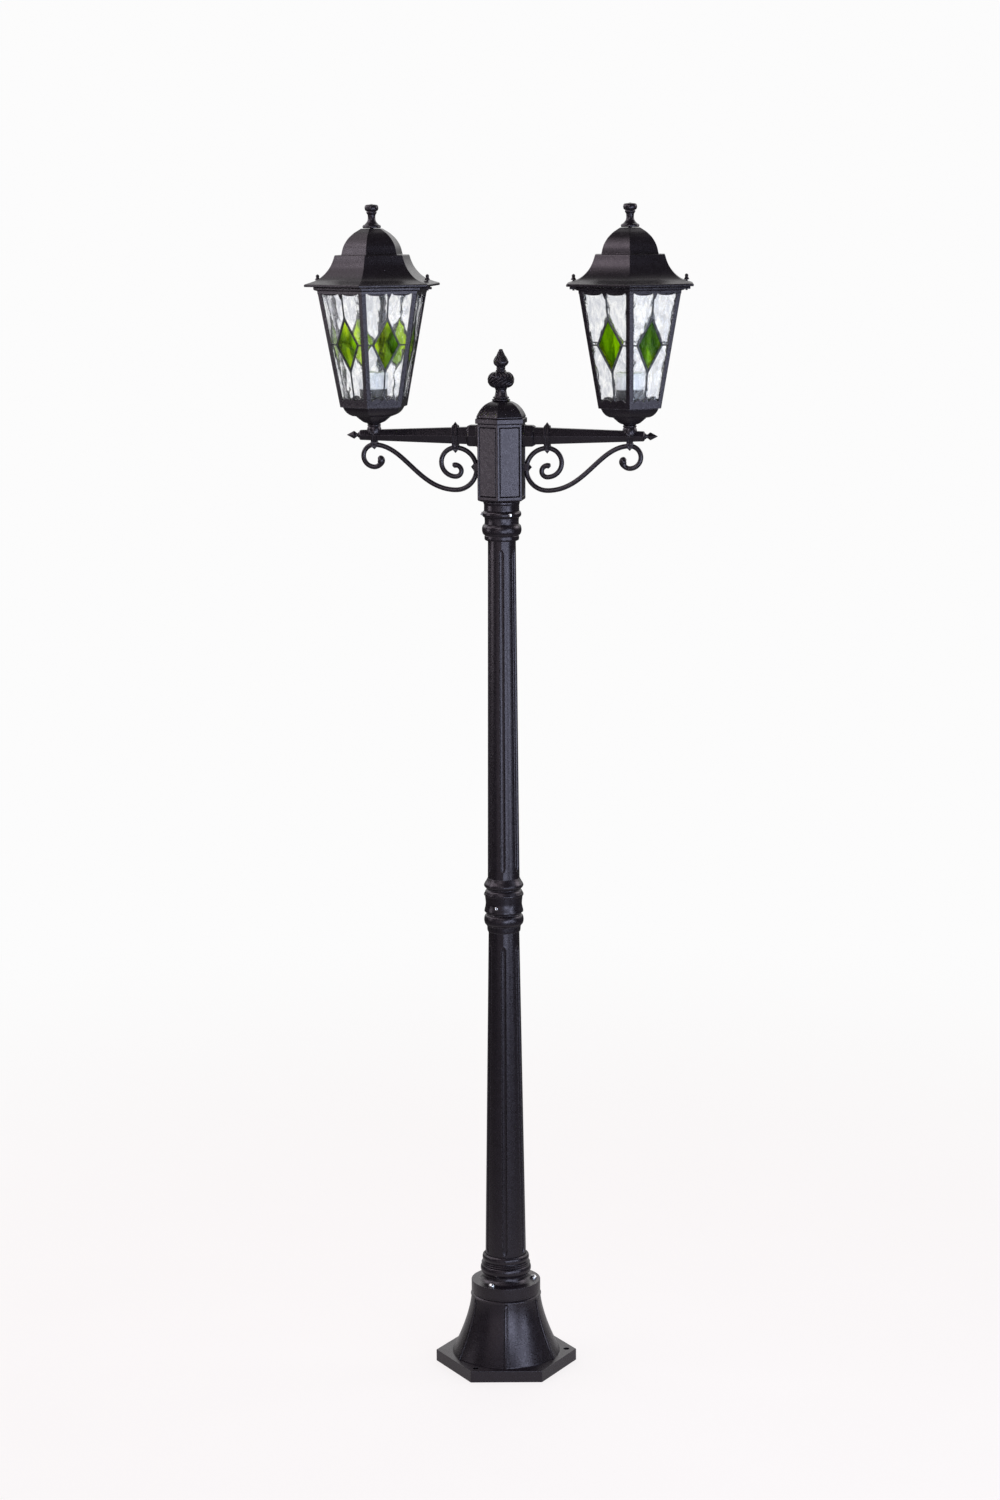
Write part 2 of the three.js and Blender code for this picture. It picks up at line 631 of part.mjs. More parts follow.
// ---- The whole post ----
const group = new THREE.Group();
group.add(buildColumn());
addPiece(group, "head_box", headBox(), PAINT);
addPiece(group, "head_cap", headCap(), PAINT);
addPiece(group, "head_finial", headFinial(), PAINT);
addPiece(group, "terminal_block", terminalBlock(), PLASTIC);
for (const side of ["left", "right"]) {
  group.add(buildArm(side), buildLantern(side));
  addPiece(group, `${side}_lamp_lead`, lampLead(side === "left" ? -1 : 1), LEAD_SHEATH);
}

export default group;
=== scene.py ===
"""The looks of a garden lamp post with two leaded-glass lanterns.

Lengths are in millimetres in the piece functions and turned into metres when a
mesh is made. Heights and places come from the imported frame. A profile's heights
count up from the bottom of its piece, or are negative and count down from the top.
"""

import math

import bpy
import numpy as np
from mathutils import Matrix, Vector


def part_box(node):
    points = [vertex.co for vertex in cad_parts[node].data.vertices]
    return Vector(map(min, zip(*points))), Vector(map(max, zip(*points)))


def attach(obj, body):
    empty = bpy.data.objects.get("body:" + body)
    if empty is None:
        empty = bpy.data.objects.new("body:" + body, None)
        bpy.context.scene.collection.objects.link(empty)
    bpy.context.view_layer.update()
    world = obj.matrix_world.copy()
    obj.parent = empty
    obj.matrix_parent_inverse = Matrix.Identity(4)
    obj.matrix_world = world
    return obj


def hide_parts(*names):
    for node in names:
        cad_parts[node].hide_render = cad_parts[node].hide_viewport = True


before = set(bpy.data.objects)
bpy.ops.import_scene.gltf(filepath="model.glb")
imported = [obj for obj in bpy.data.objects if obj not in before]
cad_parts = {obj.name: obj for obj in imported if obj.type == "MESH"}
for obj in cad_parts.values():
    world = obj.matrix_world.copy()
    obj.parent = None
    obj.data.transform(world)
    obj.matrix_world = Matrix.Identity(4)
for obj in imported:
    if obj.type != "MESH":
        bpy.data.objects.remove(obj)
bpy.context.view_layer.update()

# ---- Driving dimensions, in millimetres and degrees ----
MM = 0.001
FOOT_TURN = 8.4  # foot and column against the head
RIGHT_LANTERN_TURN = 5.9
ROUND = 96  # sides of a round piece
FINE = 48  # sides of a small round piece
HEX_CORNER_STEPS = 4
SHARP = math.radians(32)  # edges sharper than this stay crisp
COS30 = math.cos(math.radians(30))
THIRDS = (0, 120, 240)
SIDES = ("left", "right")


def low(node):
    """Height of a node's lowest point, in millimetres."""
    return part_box(node)[0].z / MM


def high(node):
    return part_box(node)[1].z / MM


def centre_x(node):
    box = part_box(node)
    return (box[0].x + box[1].x) / 2 / MM


ARM_Z = (low("right_arm_tip") + high("right_arm_tip")) / 2
REACH = centre_x("right_roof_finial")
SLEEVE_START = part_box("right_arm_sleeve")[0].x / MM
SLEEVE_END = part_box("right_arm_sleeve")[1].x / MM
CLAMP_X = centre_x("right_inner_clamp")
CAGE_BASE = low("left_cage")
CAGE_EAVE = high("left_cage") - 4.8
CAGE_BASE_RADIUS = 65.5
CAGE_EAVE_RADIUS = 106.6
CAGE_WALL = 3.5
PANE_THICKNESS = 3
GAP = 0.3
ANCHOR_CIRCLE = 116  # radius of the circle of the anchor holes
FLANGE_CIRCLE = 53  # and of the flange screws
NUT_PLACE = 102  # from a lantern's axis to a roof nut
FACE_TILT = math.atan2((CAGE_EAVE_RADIUS - CAGE_BASE_RADIUS) * COS30, CAGE_EAVE - CAGE_BASE)


# ---- Meshes from rings of points ----
def mesh_of(points, faces, sharp=SHARP):
    """A smooth-shaded mesh in metres from points in millimetres."""
    mesh = bpy.data.meshes.new("mesh")
    mesh.from_pydata([tuple(p) for p in np.asarray(points) * MM], [], faces)
    mesh.validate()
    mesh.polygons.foreach_set("use_smooth", [True] * len(mesh.polygons))
    mesh.set_sharp_from_angle(angle=sharp)
    mesh.update()
    return mesh


def loft(rings, closed=False, sharp=SHARP):
    """A skin over rings of equal length. Open ends are capped; a ring whose points
    are all alike becomes one point. With closed, the last ring joins the first."""
    points, index = [], []
    for ring in rings:
        ring = np.asarray(ring, float)
        if np.ptp(ring, axis=0).max() < 1e-6:
            index.append([len(points)] * len(ring))
            points.append(ring[0])
        else:
            index.append(list(range(len(points), len(points) + len(ring))))
            points.extend(ring)
    faces = []
    pairs = list(zip(index, index[1:]))
    if closed:
        pairs.append((index[-1], index[0]))
    for lower, upper in pairs:
        for j in range(len(lower)):
            k = (j + 1) % len(lower)
            corners = list(dict.fromkeys((lower[j], lower[k], upper[k], upper[j])))
            if len(corners) > 2:
                faces.append(corners)
    if not closed:
        if index[0][0] != index[0][1]:
            faces.append(index[0][::-1])
        if index[-1][0] != index[-1][1]:
            faces.append(index[-1])
    return mesh_of(points, faces, sharp)


def circle(sides):
    angles = np.linspace(0, 2 * np.pi, sides, endpoint=False)
    return np.stack([np.cos(angles), np.sin(angles)], 1)


def hexagon(radius, rounding):
    """A hexagon with a corner towards -Y and rounded corners, as points in the plane."""
    rounding = min(rounding, radius * 0.4)
    points = []
    for k in range(6):
        corner = math.radians(60 * k - 90)
        centre = (radius - rounding / COS30) * np.array([math.cos(corner), math.sin(corner)])
        for j in range(HEX_CORNER_STEPS + 1):
            a = corner + math.radians(-30 + 60 * j / HEX_CORNER_STEPS)
            points.append(centre + rounding * np.array([math.cos(a), math.sin(a)]))
    return np.array(points)


def flat_ring(outline, z):
    return np.column_stack([outline, np.full(len(outline), z)])


def matching_rings(ring, profile):
    """Round rings at (r, z) points, with one point at the angle of each point of ring."""
    angles = np.arctan2(ring[:, 1], ring[:, 0])
    outline = np.stack([np.cos(angles), np.sin(angles)], 1)
    return [flat_ring(outline * r, z) for r, z in profile]


def filleted(profile, steps=4):
    """Rounds the corners of a profile of (r, z) or (r, z, size) points. The size is
    how far from the corner the rounding starts."""
    result = []
    last = len(profile) - 1
    for i, point in enumerate(profile):
        here = np.array(point[:2], float)
        size = point[2] if len(point) > 2 else 0
        if not size or i in (0, last):
            result.append(here)
            continue
        before = np.array(profile[i - 1][:2], float) - here
        after = np.array(profile[i + 1][:2], float) - here
        reach = [min(size, 0.49 * np.linalg.norm(v)) for v in (before, after)]
        start = here + before / np.linalg.norm(before) * reach[0]
        end = here + after / np.linalg.norm(after) * reach[1]
        for t in np.linspace(0, 1, steps + 1):
            result.append((1 - t) ** 2 * start + 2 * t * (1 - t) * here + t * t * end)
    return result


def bulge(edge, peak, bottom, top, steps=10):
    """A half-ellipse on a profile: radius edge at both ends and peak in the middle."""
    angles = np.linspace(0, np.pi, steps + 1)
    return [
        (edge + (peak - edge) * math.sin(a), (bottom + top) / 2 - math.cos(a) * (top - bottom) / 2)
        for a in angles
    ]


def lift(profile, height):
    """A profile moved up, from its own zero to a height on the post."""
    return [(p[0], p[1] + height, *p[2:]) for p in profile]


def turned(profile, sides=ROUND, closed=False, sharp=SHARP):
    outline = circle(sides)
    return loft([flat_ring(outline * r, z) for r, z in filleted(profile)], closed, sharp)


def hex_turned(profile, rounding, closed=False):
    """As turned, for six-sided pieces. Points near the axis are round."""
    rings = []
    for r, z in filleted(profile):
        outline = hexagon(r, rounding) if r > 1e-6 else hexagon(1, 0.1) * 0
        rings.append(flat_ring(outline, z))
    return loft(rings, closed)


def rectangle(width, depth):
    return np.array([(-1, -1), (1, -1), (1, 1), (-1, 1)], float) * (width / 2, depth / 2)


def prism(outline, thickness, bevel=0.0, steps=2):
    """A closed outline in the XY plane, with a thickness centred on z = 0. Its front
    and back edges are rounded by bevel, inwards."""
    outline = np.asarray(outline, float)
    half = thickness / 2
    if not bevel:
        return loft([flat_ring(outline, -half), flat_ring(outline, half)])
    ahead = np.roll(outline, -1, 0) - outline
    ahead /= np.linalg.norm(ahead, axis=1)[:, None]
    behind = np.roll(ahead, 1, 0)
    normal = np.stack([ahead[:, 1] + behind[:, 1], -ahead[:, 0] - behind[:, 0]], 1)
    normal /= np.maximum((normal ** 2).sum(1), 1.0)[:, None] / 2
    rings = []
    for a in np.linspace(0, np.pi / 2, steps + 1):
        inset = outline - normal * bevel * (1 - math.sin(a))
        rings.append((inset, half - bevel * (1 - math.cos(a))))
    return loft(
        [flat_ring(ring, -z) for ring, z in rings] + [flat_ring(ring, z) for ring, z in rings[::-1]]
    )


def joined(meshes):
    """One mesh that holds all the given closed meshes."""
    points, faces = [], []
    for mesh in meshes:
        start = len(points)
        points.extend(v.co / MM for v in mesh.vertices)
        faces.extend([start + i for i in p.vertices] for p in mesh.polygons)
        bpy.data.meshes.remove(mesh)
    return mesh_of(points, faces)


def moved(mesh, matrix):
    mesh.transform(matrix)
    return mesh


def turn(axis, degrees):
    return Matrix.Rotation(math.radians(degrees), 4, axis)


def shift(x, y, z):
    return Matrix.Translation((x * MM, y * MM, z * MM))


ALONG_X = turn("Y", 90)


def modified(mesh, build):
    """Applies the modifiers that build(object) adds."""
    holder = bpy.data.objects.new("holder", mesh)
    bpy.context.scene.collection.objects.link(holder)
    build(holder)
    graph = bpy.context.evaluated_depsgraph_get()
    result = bpy.data.meshes.new_from_object(holder.evaluated_get(graph))
    bpy.data.objects.remove(holder)
    bpy.data.meshes.remove(mesh)
    return result


def cut(mesh, tool):
    """Cuts the closed mesh tool out of mesh."""
    cutter = bpy.data.objects.new("cutter", tool)
    bpy.context.scene.collection.objects.link(cutter)

    def build(holder):
        step = holder.modifiers.new("cut", "BOOLEAN")
        step.operation = "DIFFERENCE"
        step.solver = "EXACT"
        step.object = cutter

    result = modified(mesh, build)
    bpy.data.objects.remove(cutter)
    bpy.data.meshes.remove(tool)
    return result


def rod(radius, bottom, top, sides=24):
    """A plain cylinder about Z, for drilling with."""
    return turned([(0, bottom), (radius, bottom), (radius, top), (0, top)], sides)


def edge_rounded(mesh, width, angle):
    def build(holder):
        step = holder.modifiers.new("bevel", "BEVEL")
        step.width = width * MM
        step.segments = 2
        step.limit_method = "ANGLE"
        step.angle_limit = math.radians(angle)
        step.use_clamp_overlap = True

    result = modified(mesh, build)
    result.polygons.foreach_set("use_smooth", [True] * len(result.polygons))
    result.set_sharp_from_angle(angle=SHARP)
    return result


# ---- Materials ----
class Tree:
    """Short names for adding and linking shader nodes."""

    def __init__(self, tree):
        self.tree = tree

    def add(self, kind, **settings):
        node = self.tree.nodes.new(kind)
        for key, value in settings.items():
            setattr(node, key, value)
        return node

    def link(self, source, target):
        self.tree.links.new(source, target)

    def span(self, value, low_in, high_in, low_out=0.0, high_out=1.0, kind="LINEAR"):
        node = self.add("ShaderNodeMapRange", interpolation_type=kind)
        for name, number in zip(
            ("From Min", "From Max", "To Min", "To Max"), (low_in, high_in, low_out, high_out)
        ):
            node.inputs[name].default_value = number
        self.link(value, node.inputs["Value"])
        return node.outputs["Result"]

    def math(self, operation, first, second):
        node = self.add("ShaderNodeMath", operation=operation)
        for socket, value in zip(node.inputs, (first, second)):
            if isinstance(value, (int, float)):
                socket.default_value = value
            else:
                self.link(value, socket)
        return node.outputs["Value"]

    def colours(self, factor, first, second):
        node = self.add("ShaderNodeMix", data_type="RGBA")
        sockets = [s for s in node.inputs if s.type == "RGBA"]
        for socket, value in zip(sockets, (first, second)):
            if isinstance(value, tuple):
                socket.default_value = (*value, 1.0)
            else:
                self.link(value, socket)
        self.link(factor, node.inputs["Factor"])
        return next(s for s in node.outputs if s.type == "RGBA")

    def seen_directly(self):
        """1 for what the camera sees, also through glass, and 0 for light that is
        gathered by the object."""
        path = self.add("ShaderNodeLightPath").outputs
        return self.math("MAXIMUM", path["Is Camera Ray"], path["Is Transmission Ray"])

    def blend(self, factor, first, second, output):
        """Shows a mix of two nodes' shaders."""
        mix = self.add("ShaderNodeMixShader")
        self.link(factor, mix.inputs["Fac"])
        self.link(first.outputs[0], mix.inputs[1])
        self.link(second.outputs[0], mix.inputs[2])
        self.link(mix.outputs["Shader"], output.inputs["Surface"])


class Shader(Tree):
    """A material being built, with textures in the object's own place."""

    def __init__(self, name):
        self.material = bpy.data.materials.new(name)
        self.material.use_nodes = True
        super().__init__(self.material.node_tree)
        self.surface = self.tree.nodes["Principled BSDF"]
        self.output = self.tree.nodes["Material Output"]
        self.place = self.add("ShaderNodeTexCoord").outputs["Object"]

    def noise(self, scale, detail, roughness=0.5, distortion=0.0, stretch=None):
        node = self.add("ShaderNodeTexNoise")
        node.inputs["Scale"].default_value = scale
        node.inputs["Detail"].default_value = detail
        node.inputs["Roughness"].default_value = roughness
        node.inputs["Distortion"].default_value = distortion
        source = self.place
        if stretch:
            mapping = self.add("ShaderNodeMapping")
            mapping.inputs["Scale"].default_value = stretch
            self.link(self.place, mapping.inputs["Vector"])
            source = mapping.outputs["Vector"]
        self.link(source, node.inputs["Vector"])
        return node.outputs["Fac"]

    def uneven(self, scale, detail, least, most):
        """A value that wanders between two limits."""
        return self.span(self.noise(scale, detail), 0.3, 0.7, least, most)

    def set(self, **values):
        for name, value in values.items():
            socket = self.surface.inputs[name.replace("_", " ")]
            if isinstance(value, (int, float, tuple)):
                socket.default_value = value
            else:
                self.link(value, socket)

    def bump(self, *layers):
        """Layers of (height, depth in millimetres), stacked."""
        normal = None
        for height, depth in layers:
            node = self.add("ShaderNodeBump")
            node.inputs["Strength"].default_value = 1.0
            node.inputs["Distance"].default_value = depth * MM
            self.link(height, node.inputs["Height"])
            if normal:
                self.link(normal, node.inputs["Normal"])
            normal = node.outputs["Normal"]
        self.link(normal, self.surface.inputs["Normal"])

    def worn_and_highlit_edges(self):
        """A mask of the outward edges, broken up into patches. The coat is painted lighter there:
        partly real wear, partly a painted highlight on the rounded edges.
        """
        inside = self.add("ShaderNodeAmbientOcclusion", inside=True, only_local=True, samples=6)
        inside.inputs["Distance"].default_value = 0.9 * MM
        edge = self.span(inside.outputs["AO"], 0.85, 0.5)
        patches = self.span(self.noise(110, 3), 0.3, 0.6, 0.35, 1.0)
        return self.math("MULTIPLY", edge, patches)


def black_coat():
    """Fine-grained black powder coat, satin, lighter along its edges: partly rubbed wear, partly a
    painted highlight.
    """
    s = Shader("black_coat")
    grain = s.noise(820, 2, 0.5)
    fine = s.noise(2300, 2)
    mottle = s.noise(38, 4, 0.6)
    tone = s.colours(s.span(mottle, 0.3, 0.7), (0.008, 0.0055, 0.008), (0.014, 0.0105, 0.0142))
    speck = s.colours(s.span(grain, 0.56, 0.7), tone, (0.034, 0.03, 0.035))
    s.set(
        # the lighter edge colour is partly wear and partly a painted highlight on the rounded edges
        Base_Color=s.colours(s.worn_and_highlit_edges(), speck, (0.17, 0.155, 0.168)),
        Roughness=s.uneven(140, 3, 0.24, 0.32),
        Specular_IOR_Level=0.6,
        Specular_Tint=(1.0, 0.9, 0.98, 1.0),
    )
    s.bump((grain, 0.1), (fine, 0.03))
    return s.material


def screw_chrome():
    s = Shader("screw_chrome")
    scratches = s.noise(900, 2, stretch=(1, 1, 0.15))
    s.set(
        Base_Color=s.colours(s.noise(300, 2), (0.88, 0.88, 0.89), (0.97, 0.97, 0.98)),
        Metallic=1.0,
        Roughness=s.span(scratches, 0.3, 0.7, 0.14, 0.26),
    )
    s.bump((scratches, 0.01))
    return s.material


def let_light_through(s, tint):
    """Lets lamps shine through a glass: shadow rays meet a clear surface."""
    clear = s.add("ShaderNodeBsdfTransparent")
    clear.inputs["Color"].default_value = (*tint, 1.0)
    shadow = s.add("ShaderNodeLightPath").outputs["Is Shadow Ray"]
    s.blend(shadow, s.surface, clear, s.output)


def wavy_glass():
    """Clear water glass: soft ripples, faint seeds and grey-blue streaks."""
    s = Shader("wavy_glass")
    ripples = s.noise(70, 2, 0.4, 0.8)
    seeds = s.span(s.noise(420, 1), 0.7, 0.78)
    streaks = s.span(s.noise(64, 3, 0.55, 1.6, stretch=(1, 1, 0.45)), 0.4, 0.58)
    s.set(
        Base_Color=s.colours(streaks, (0.8, 0.81, 0.84), (1.0, 1.0, 0.995)),
        Roughness=s.uneven(60, 3, 0.03, 0.1),
        IOR=1.31,
        Transmission_Weight=0.98,
    )
    s.bump((ripples, 0.4), (seeds, 0.05))
    let_light_through(s, (0.92, 0.94, 0.93))
    return s.material


def green_glass():
    """Yellow-green streaky glass."""
    s = Shader("green_glass")
    streaks = s.noise(46, 3, 0.55, 0.9, stretch=(1, 1, 0.16))
    dark = (0.11, 0.23, 0.003)
    light = (0.5, 0.74, 0.01)
    s.set(
        Base_Color=s.colours(s.span(streaks, 0.4, 0.6), dark, light),
        Roughness=s.uneven(80, 3, 0.1, 0.24),
        IOR=1.18,
        Transmission_Weight=1.0,
        Specular_IOR_Level=0.12,
    )
    s.bump((s.noise(110, 3, 0.5, 0.6), 0.7))
    let_light_through(s, (0.3, 0.5, 0.02))
    return s.material


def lead_came():
    s = Shader("lead_came")
    tarnish = s.noise(160, 4, 0.6)
    s.set(
        Base_Color=s.colours(s.span(tarnish, 0.35, 0.7), (0.05, 0.05, 0.053), (0.2, 0.2, 0.205)),
        Metallic=0.85,
        Roughness=s.span(tarnish, 0.3, 0.7, 0.32, 0.55),
    )
    s.bump((s.noise(700, 3), 0.08))
    return s.material


def inner_plastic():
    s = Shader("inner_plastic")
    s.set(
        Base_Color=s.colours(s.noise(60, 3), (0.016, 0.016, 0.017), (0.028, 0.028, 0.03)),
        Roughness=s.uneven(200, 2, 0.42, 0.6),
    )
    s.bump((s.noise(1600, 2), 0.03))
    return s.material


def porcelain():
    s = Shader("porcelain")
    s.set(
        Base_Color=s.colours(s.noise(45, 3), (0.8, 0.81, 0.82), (0.88, 0.885, 0.89)),
        Roughness=s.uneven(120, 3, 0.14, 0.28),
        Coat_Weight=0.3,
    )
    s.bump((s.noise(90, 2), 0.05))
    return s.material


def lead_sheath():
    s = Shader("lead_sheath")
    s.set(
        Base_Color=s.colours(s.noise(150, 3), (0.05, 0.05, 0.055), (0.08, 0.08, 0.085)),
        Roughness=s.uneven(300, 2, 0.5, 0.7),
    )
    s.bump((s.noise(900, 2), 0.04))
    return s.material


MATERIALS = {
    make.__name__: make()
    for make in (
        black_coat, screw_chrome, wavy_glass, green_glass, lead_came, inner_plastic, porcelain,
        lead_sheath,
    )
}


def piece(name, mesh, body, slot="black_coat", stands_for=None, matrix=None):
    """Puts a mesh in the scene, riding on its body, in the finish of its slot."""
    mesh.name = name
    if matrix is not None:
        mesh.transform(matrix)
    mesh.materials.clear()
    mesh.materials.append(MATERIALS[slot])
    thing = bpy.data.objects.new(name, mesh)
    bpy.context.scene.collection.objects.link(thing)
    if "glass" not in slot:
        flats = thing.modifiers.new("flats", "WEIGHTED_NORMAL")
        flats.keep_sharp = True
    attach(thing, body)
    if stands_for:
        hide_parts(stands_for)
    return thing


# ---- Camera, floor and lights ----
CAMERA_DISTANCE = 5.699  # metres from the column's axis
CAMERA_HEIGHT = 2.202
CAMERA_TURN = 8.4  # degrees, towards the right of the head's front
CAMERA_TILT = 10.01
CAMERA_YAW = 0.056
CAMERA_ROLL = -0.326
FOCAL_RATIO = 3103.4 / 1500


def camera():
    data = bpy.data.cameras.new("camera")
    data.sensor_width = 36
    data.sensor_fit = "AUTO"
    data.lens = 36 * FOCAL_RATIO
    data.clip_end = 200
    thing = bpy.data.objects.new("camera", data)
    bpy.context.scene.collection.objects.link(thing)
    away = Vector((0, -CAMERA_DISTANCE, CAMERA_HEIGHT))
    aim = turn("Z", CAMERA_TURN + CAMERA_YAW) @ turn("X", 90 - CAMERA_TILT) @ turn("Z", CAMERA_ROLL)
    thing.matrix_world = Matrix.Translation(turn("Z", CAMERA_TURN) @ away) @ aim
    bpy.context.scene.camera = thing


BACKDROP = (0.974, 0.972, 0.973, 1.0)  # linear; the floor fades into it


def floor():
    """A pale floor that brightens into the background away from the post."""
    edge = 30
    mesh = bpy.data.meshes.new("floor")
    corners = [(-edge, -edge, 0), (edge, -edge, 0), (edge, edge, 0), (-edge, edge, 0)]
    mesh.from_pydata(corners, [], [(0, 1, 2, 3)])
    thing = bpy.data.objects.new("floor", mesh)
    bpy.context.scene.collection.objects.link(thing)
    s = Shader("floor")
    seen = s.seen_directly()
    s.set(
        Base_Color=s.colours(s.noise(3, 3), (0.2, 0.192, 0.192), (0.22, 0.214, 0.214)),
        Roughness=0.7,
        Specular_IOR_Level=0.1,
        Emission_Color=(1.0, 0.972, 0.97, 1.0),
    )
    s.bump((s.noise(250, 3), 0.15))
    distance = s.add("ShaderNodeVectorMath", operation="LENGTH")
    s.link(s.place, distance.inputs[0])
    mirrored = s.span(distance.outputs["Value"], 0.4, 1.2, 0.36, 0.06)
    s.set(Emission_Strength=s.math("MAXIMUM", s.math("MULTIPLY", seen, 0.825), mirrored))
    glow = s.add("ShaderNodeEmission")
    glow.inputs["Color"].default_value = BACKDROP
    s.link(s.span(seen, 0, 1, 0.06, 1.0), glow.inputs["Strength"])
    fade = s.span(distance.outputs["Value"], 0.7, 3.6, kind="SMOOTHSTEP")
    s.blend(fade, s.surface, glow, s.output)
    mesh.materials.append(s.material)


def background():
    """White where it is seen, also through glass. Reflections see white behind the
    post and a dim studio in front."""
    world = bpy.data.worlds.new("studio")
    bpy.context.scene.world = world
    world.use_nodes = True
    world.node_tree.nodes.clear()
    s = Tree(world.node_tree)
    split = s.add("ShaderNodeSeparateXYZ")
    s.link(s.add("ShaderNodeTexCoord").outputs["Generated"], split.inputs[0])
    backwards = s.span(split.outputs["Y"], 0.3, 0.8, 0.09, 1.2, kind="SMOOTHSTEP")
    upwards = s.span(split.outputs["Z"], 0.02, 0.17, 0.05, 1.0)
    dim = s.add("ShaderNodeBackground")
    s.link(s.math("MULTIPLY", backwards, upwards), dim.inputs["Strength"])
    white = s.add("ShaderNodeBackground")
    white.inputs["Color"].default_value = BACKDROP
    s.blend(s.seen_directly(), dim, white, s.add("ShaderNodeOutputWorld"))


WARM, COOL, PLAIN = (1.0, 0.92, 0.98), (0.7, 0.8, 1.0), (0.97, 0.93, 1.0)
# Each light's place, target, width and height in metres, radiance along its axis,
# colour, and how far its light spreads, in degrees.
LIGHTS = {
    "over_left": ((-2.53, -0.1, 4.3), (0, 0, 2.05), 3.4, 2.0, 0.85, WARM, 180),
    "high_left": ((-2.2, -1.54, 4.15), (0, 0, 2.05), 1.3, 1.6, 2.0, WARM, 180),
    "mid_left": ((-3.2, -0.56, 2.95), (0, 0, 1.95), 1.2, 0.9, 3.6, PLAIN, 180),
    "low_left": ((-3.31, -0.78, 1.5), (0, 0, 1.6), 1.2, 0.9, 3.4, PLAIN, 60),
    "cap_left": ((-1.02, -0.18, 2.77), (0, 0, 2.07), 0.4, 0.3, 4.5, PLAIN, 20),
    "cap_right": ((0.83, -0.55, 2.74), (0, 0, 2.07), 0.35, 0.3, 2.0, COOL, 20),
    "finial_front": ((-0.59, -3.35, 2.05), (0, 0, 2.1), 0.9, 0.7, 2.4, PLAIN, 40),
    "tube_right": ((1.38, -3.1, 0.8), (0, 0, 1.2), 1.9, 1.2, 5.0, COOL, 180),
    "cage_right": ((3.06, -1.69, 0.7), (0, 0, 1.85), 1.1, 0.8, 5.0, COOL, 180),
    "front_high": ((-0.66, -3.13, 3.26), (0, 0, 2.1), 2.4, 0.9, 4.0, PLAIN, 60),
    "front_low": ((-1.2, -3.2, 0.9), (0, 0, 1.3), 2.6, 1.4, 0.5, WARM, 180),
    "box_right": ((2.66, -2.12, 1.68), (0, 0, 1.9), 1.2, 0.85, 5.6, COOL, 180),
    "back_left": ((-3.2, 1.4, 3.0), (-0.6, 0, 2), 1.6, 1.6, 2.0, PLAIN, 180),
    "back_right": ((3.2, 1.4, 3.0), (0.6, 0, 2), 1.6, 1.6, 3.2, PLAIN, 180),
    "bell_front": ((-0.7, -1.66, 2.5), (0, 0, 0.1), 1.5, 0.8, 0.7, WARM, 40),
    "bell_right": ((2.05, -0.42, 2.12), (0, 0, 0.1), 0.8, 0.8, 3.4, COOL, 40),
    "bell_top": ((-0.25, -0.75, 3.3), (0, 0, 0.05), 0.9, 0.7, 1.3, WARM, 30),
}


def softbox(name, place, target, width, height, radiance, colour, spread):
    light = bpy.data.lights.new(name, "AREA")
    light.spread = math.radians(spread)
    light.shape = "RECTANGLE"
    light.size, light.size_y = width, height
    beam = 1.0
    if spread < 180:
        beam = 1 - light.spread / 2 / math.tan(light.spread / 2)
    light.energy = radiance * beam * math.pi * width * height
    light.color = colour
    thing = bpy.data.objects.new(name, light)
    bpy.context.scene.collection.objects.link(thing)
    thing.location = place
    aim = Vector(target) - Vector(place)
    thing.rotation_euler = aim.to_track_quat("-Z", "Y").to_euler()
    thing.visible_camera = False


def studio():
    bpy.context.scene.view_settings.view_transform = "Standard"
    camera()
    floor()
    background()
    for name, settings in LIGHTS.items():
        softbox(name, *settings)


# ---- Foot ----
BELL = {"top": 143, "mid": 65.7, "flare": 37.8, "power": 1.63, "plate": 22}
FOOT = turn("Z", FOOT_TURN)
RIB_SECTION = (  # across a rib: place as a share of its half-width, and height
    (-1.5, 0.0), (-1.34, -1.2), (-1.04, -1.2), (-0.84, 1.1), (-0.6, 1.6), (0.0, 1.3),
    (0.6, 1.6), (0.84, 1.1), (1.04, -1.2), (1.34, -1.2), (1.5, 0.0),
)


def bell_radius(z):
    share = min(max((BELL["top"] - z) / (BELL["top"] - BELL["plate"]), 0), 1)
    return BELL["mid"] + BELL["flare"] * share ** BELL["power"]


def bell_ring(z):
    """One turn round the bell: slightly six-sided, with a double-lined rib at each corner."""
    share = min(max((BELL["top"] - z) / (BELL["top"] - BELL["plate"]), 0), 1)
    mid = bell_radius(z)
    half_rib = 2.8 + 1.2 * share
    rise = 0.6 + 1.2 * share
    relief = min(1, max(0, (BELL["top"] - 7 - z) / 4))
    edge = RIB_SECTION[-1][0] * half_rib / mid
    points = []
    for k in range(6):
        rib = math.radians(60 * k - 90)
        across = [(place * half_rib / mid, height) for place, height in RIB_SECTION]
        between = [(a, 0.0) for a in np.linspace(edge, math.radians(60) - edge, 12)[1:-1]]
        for angle, height in across + between:
            off = min(abs(angle), math.radians(60) - angle)
            flat = COS30 / math.cos(math.radians(30) - off)
            corner = (flat - COS30) / (1 - COS30)
            r = mid + relief * (rise * corner + height)
            points.append((r * math.cos(rib + angle), r * math.sin(rib + angle), z))
    return np.array(points)


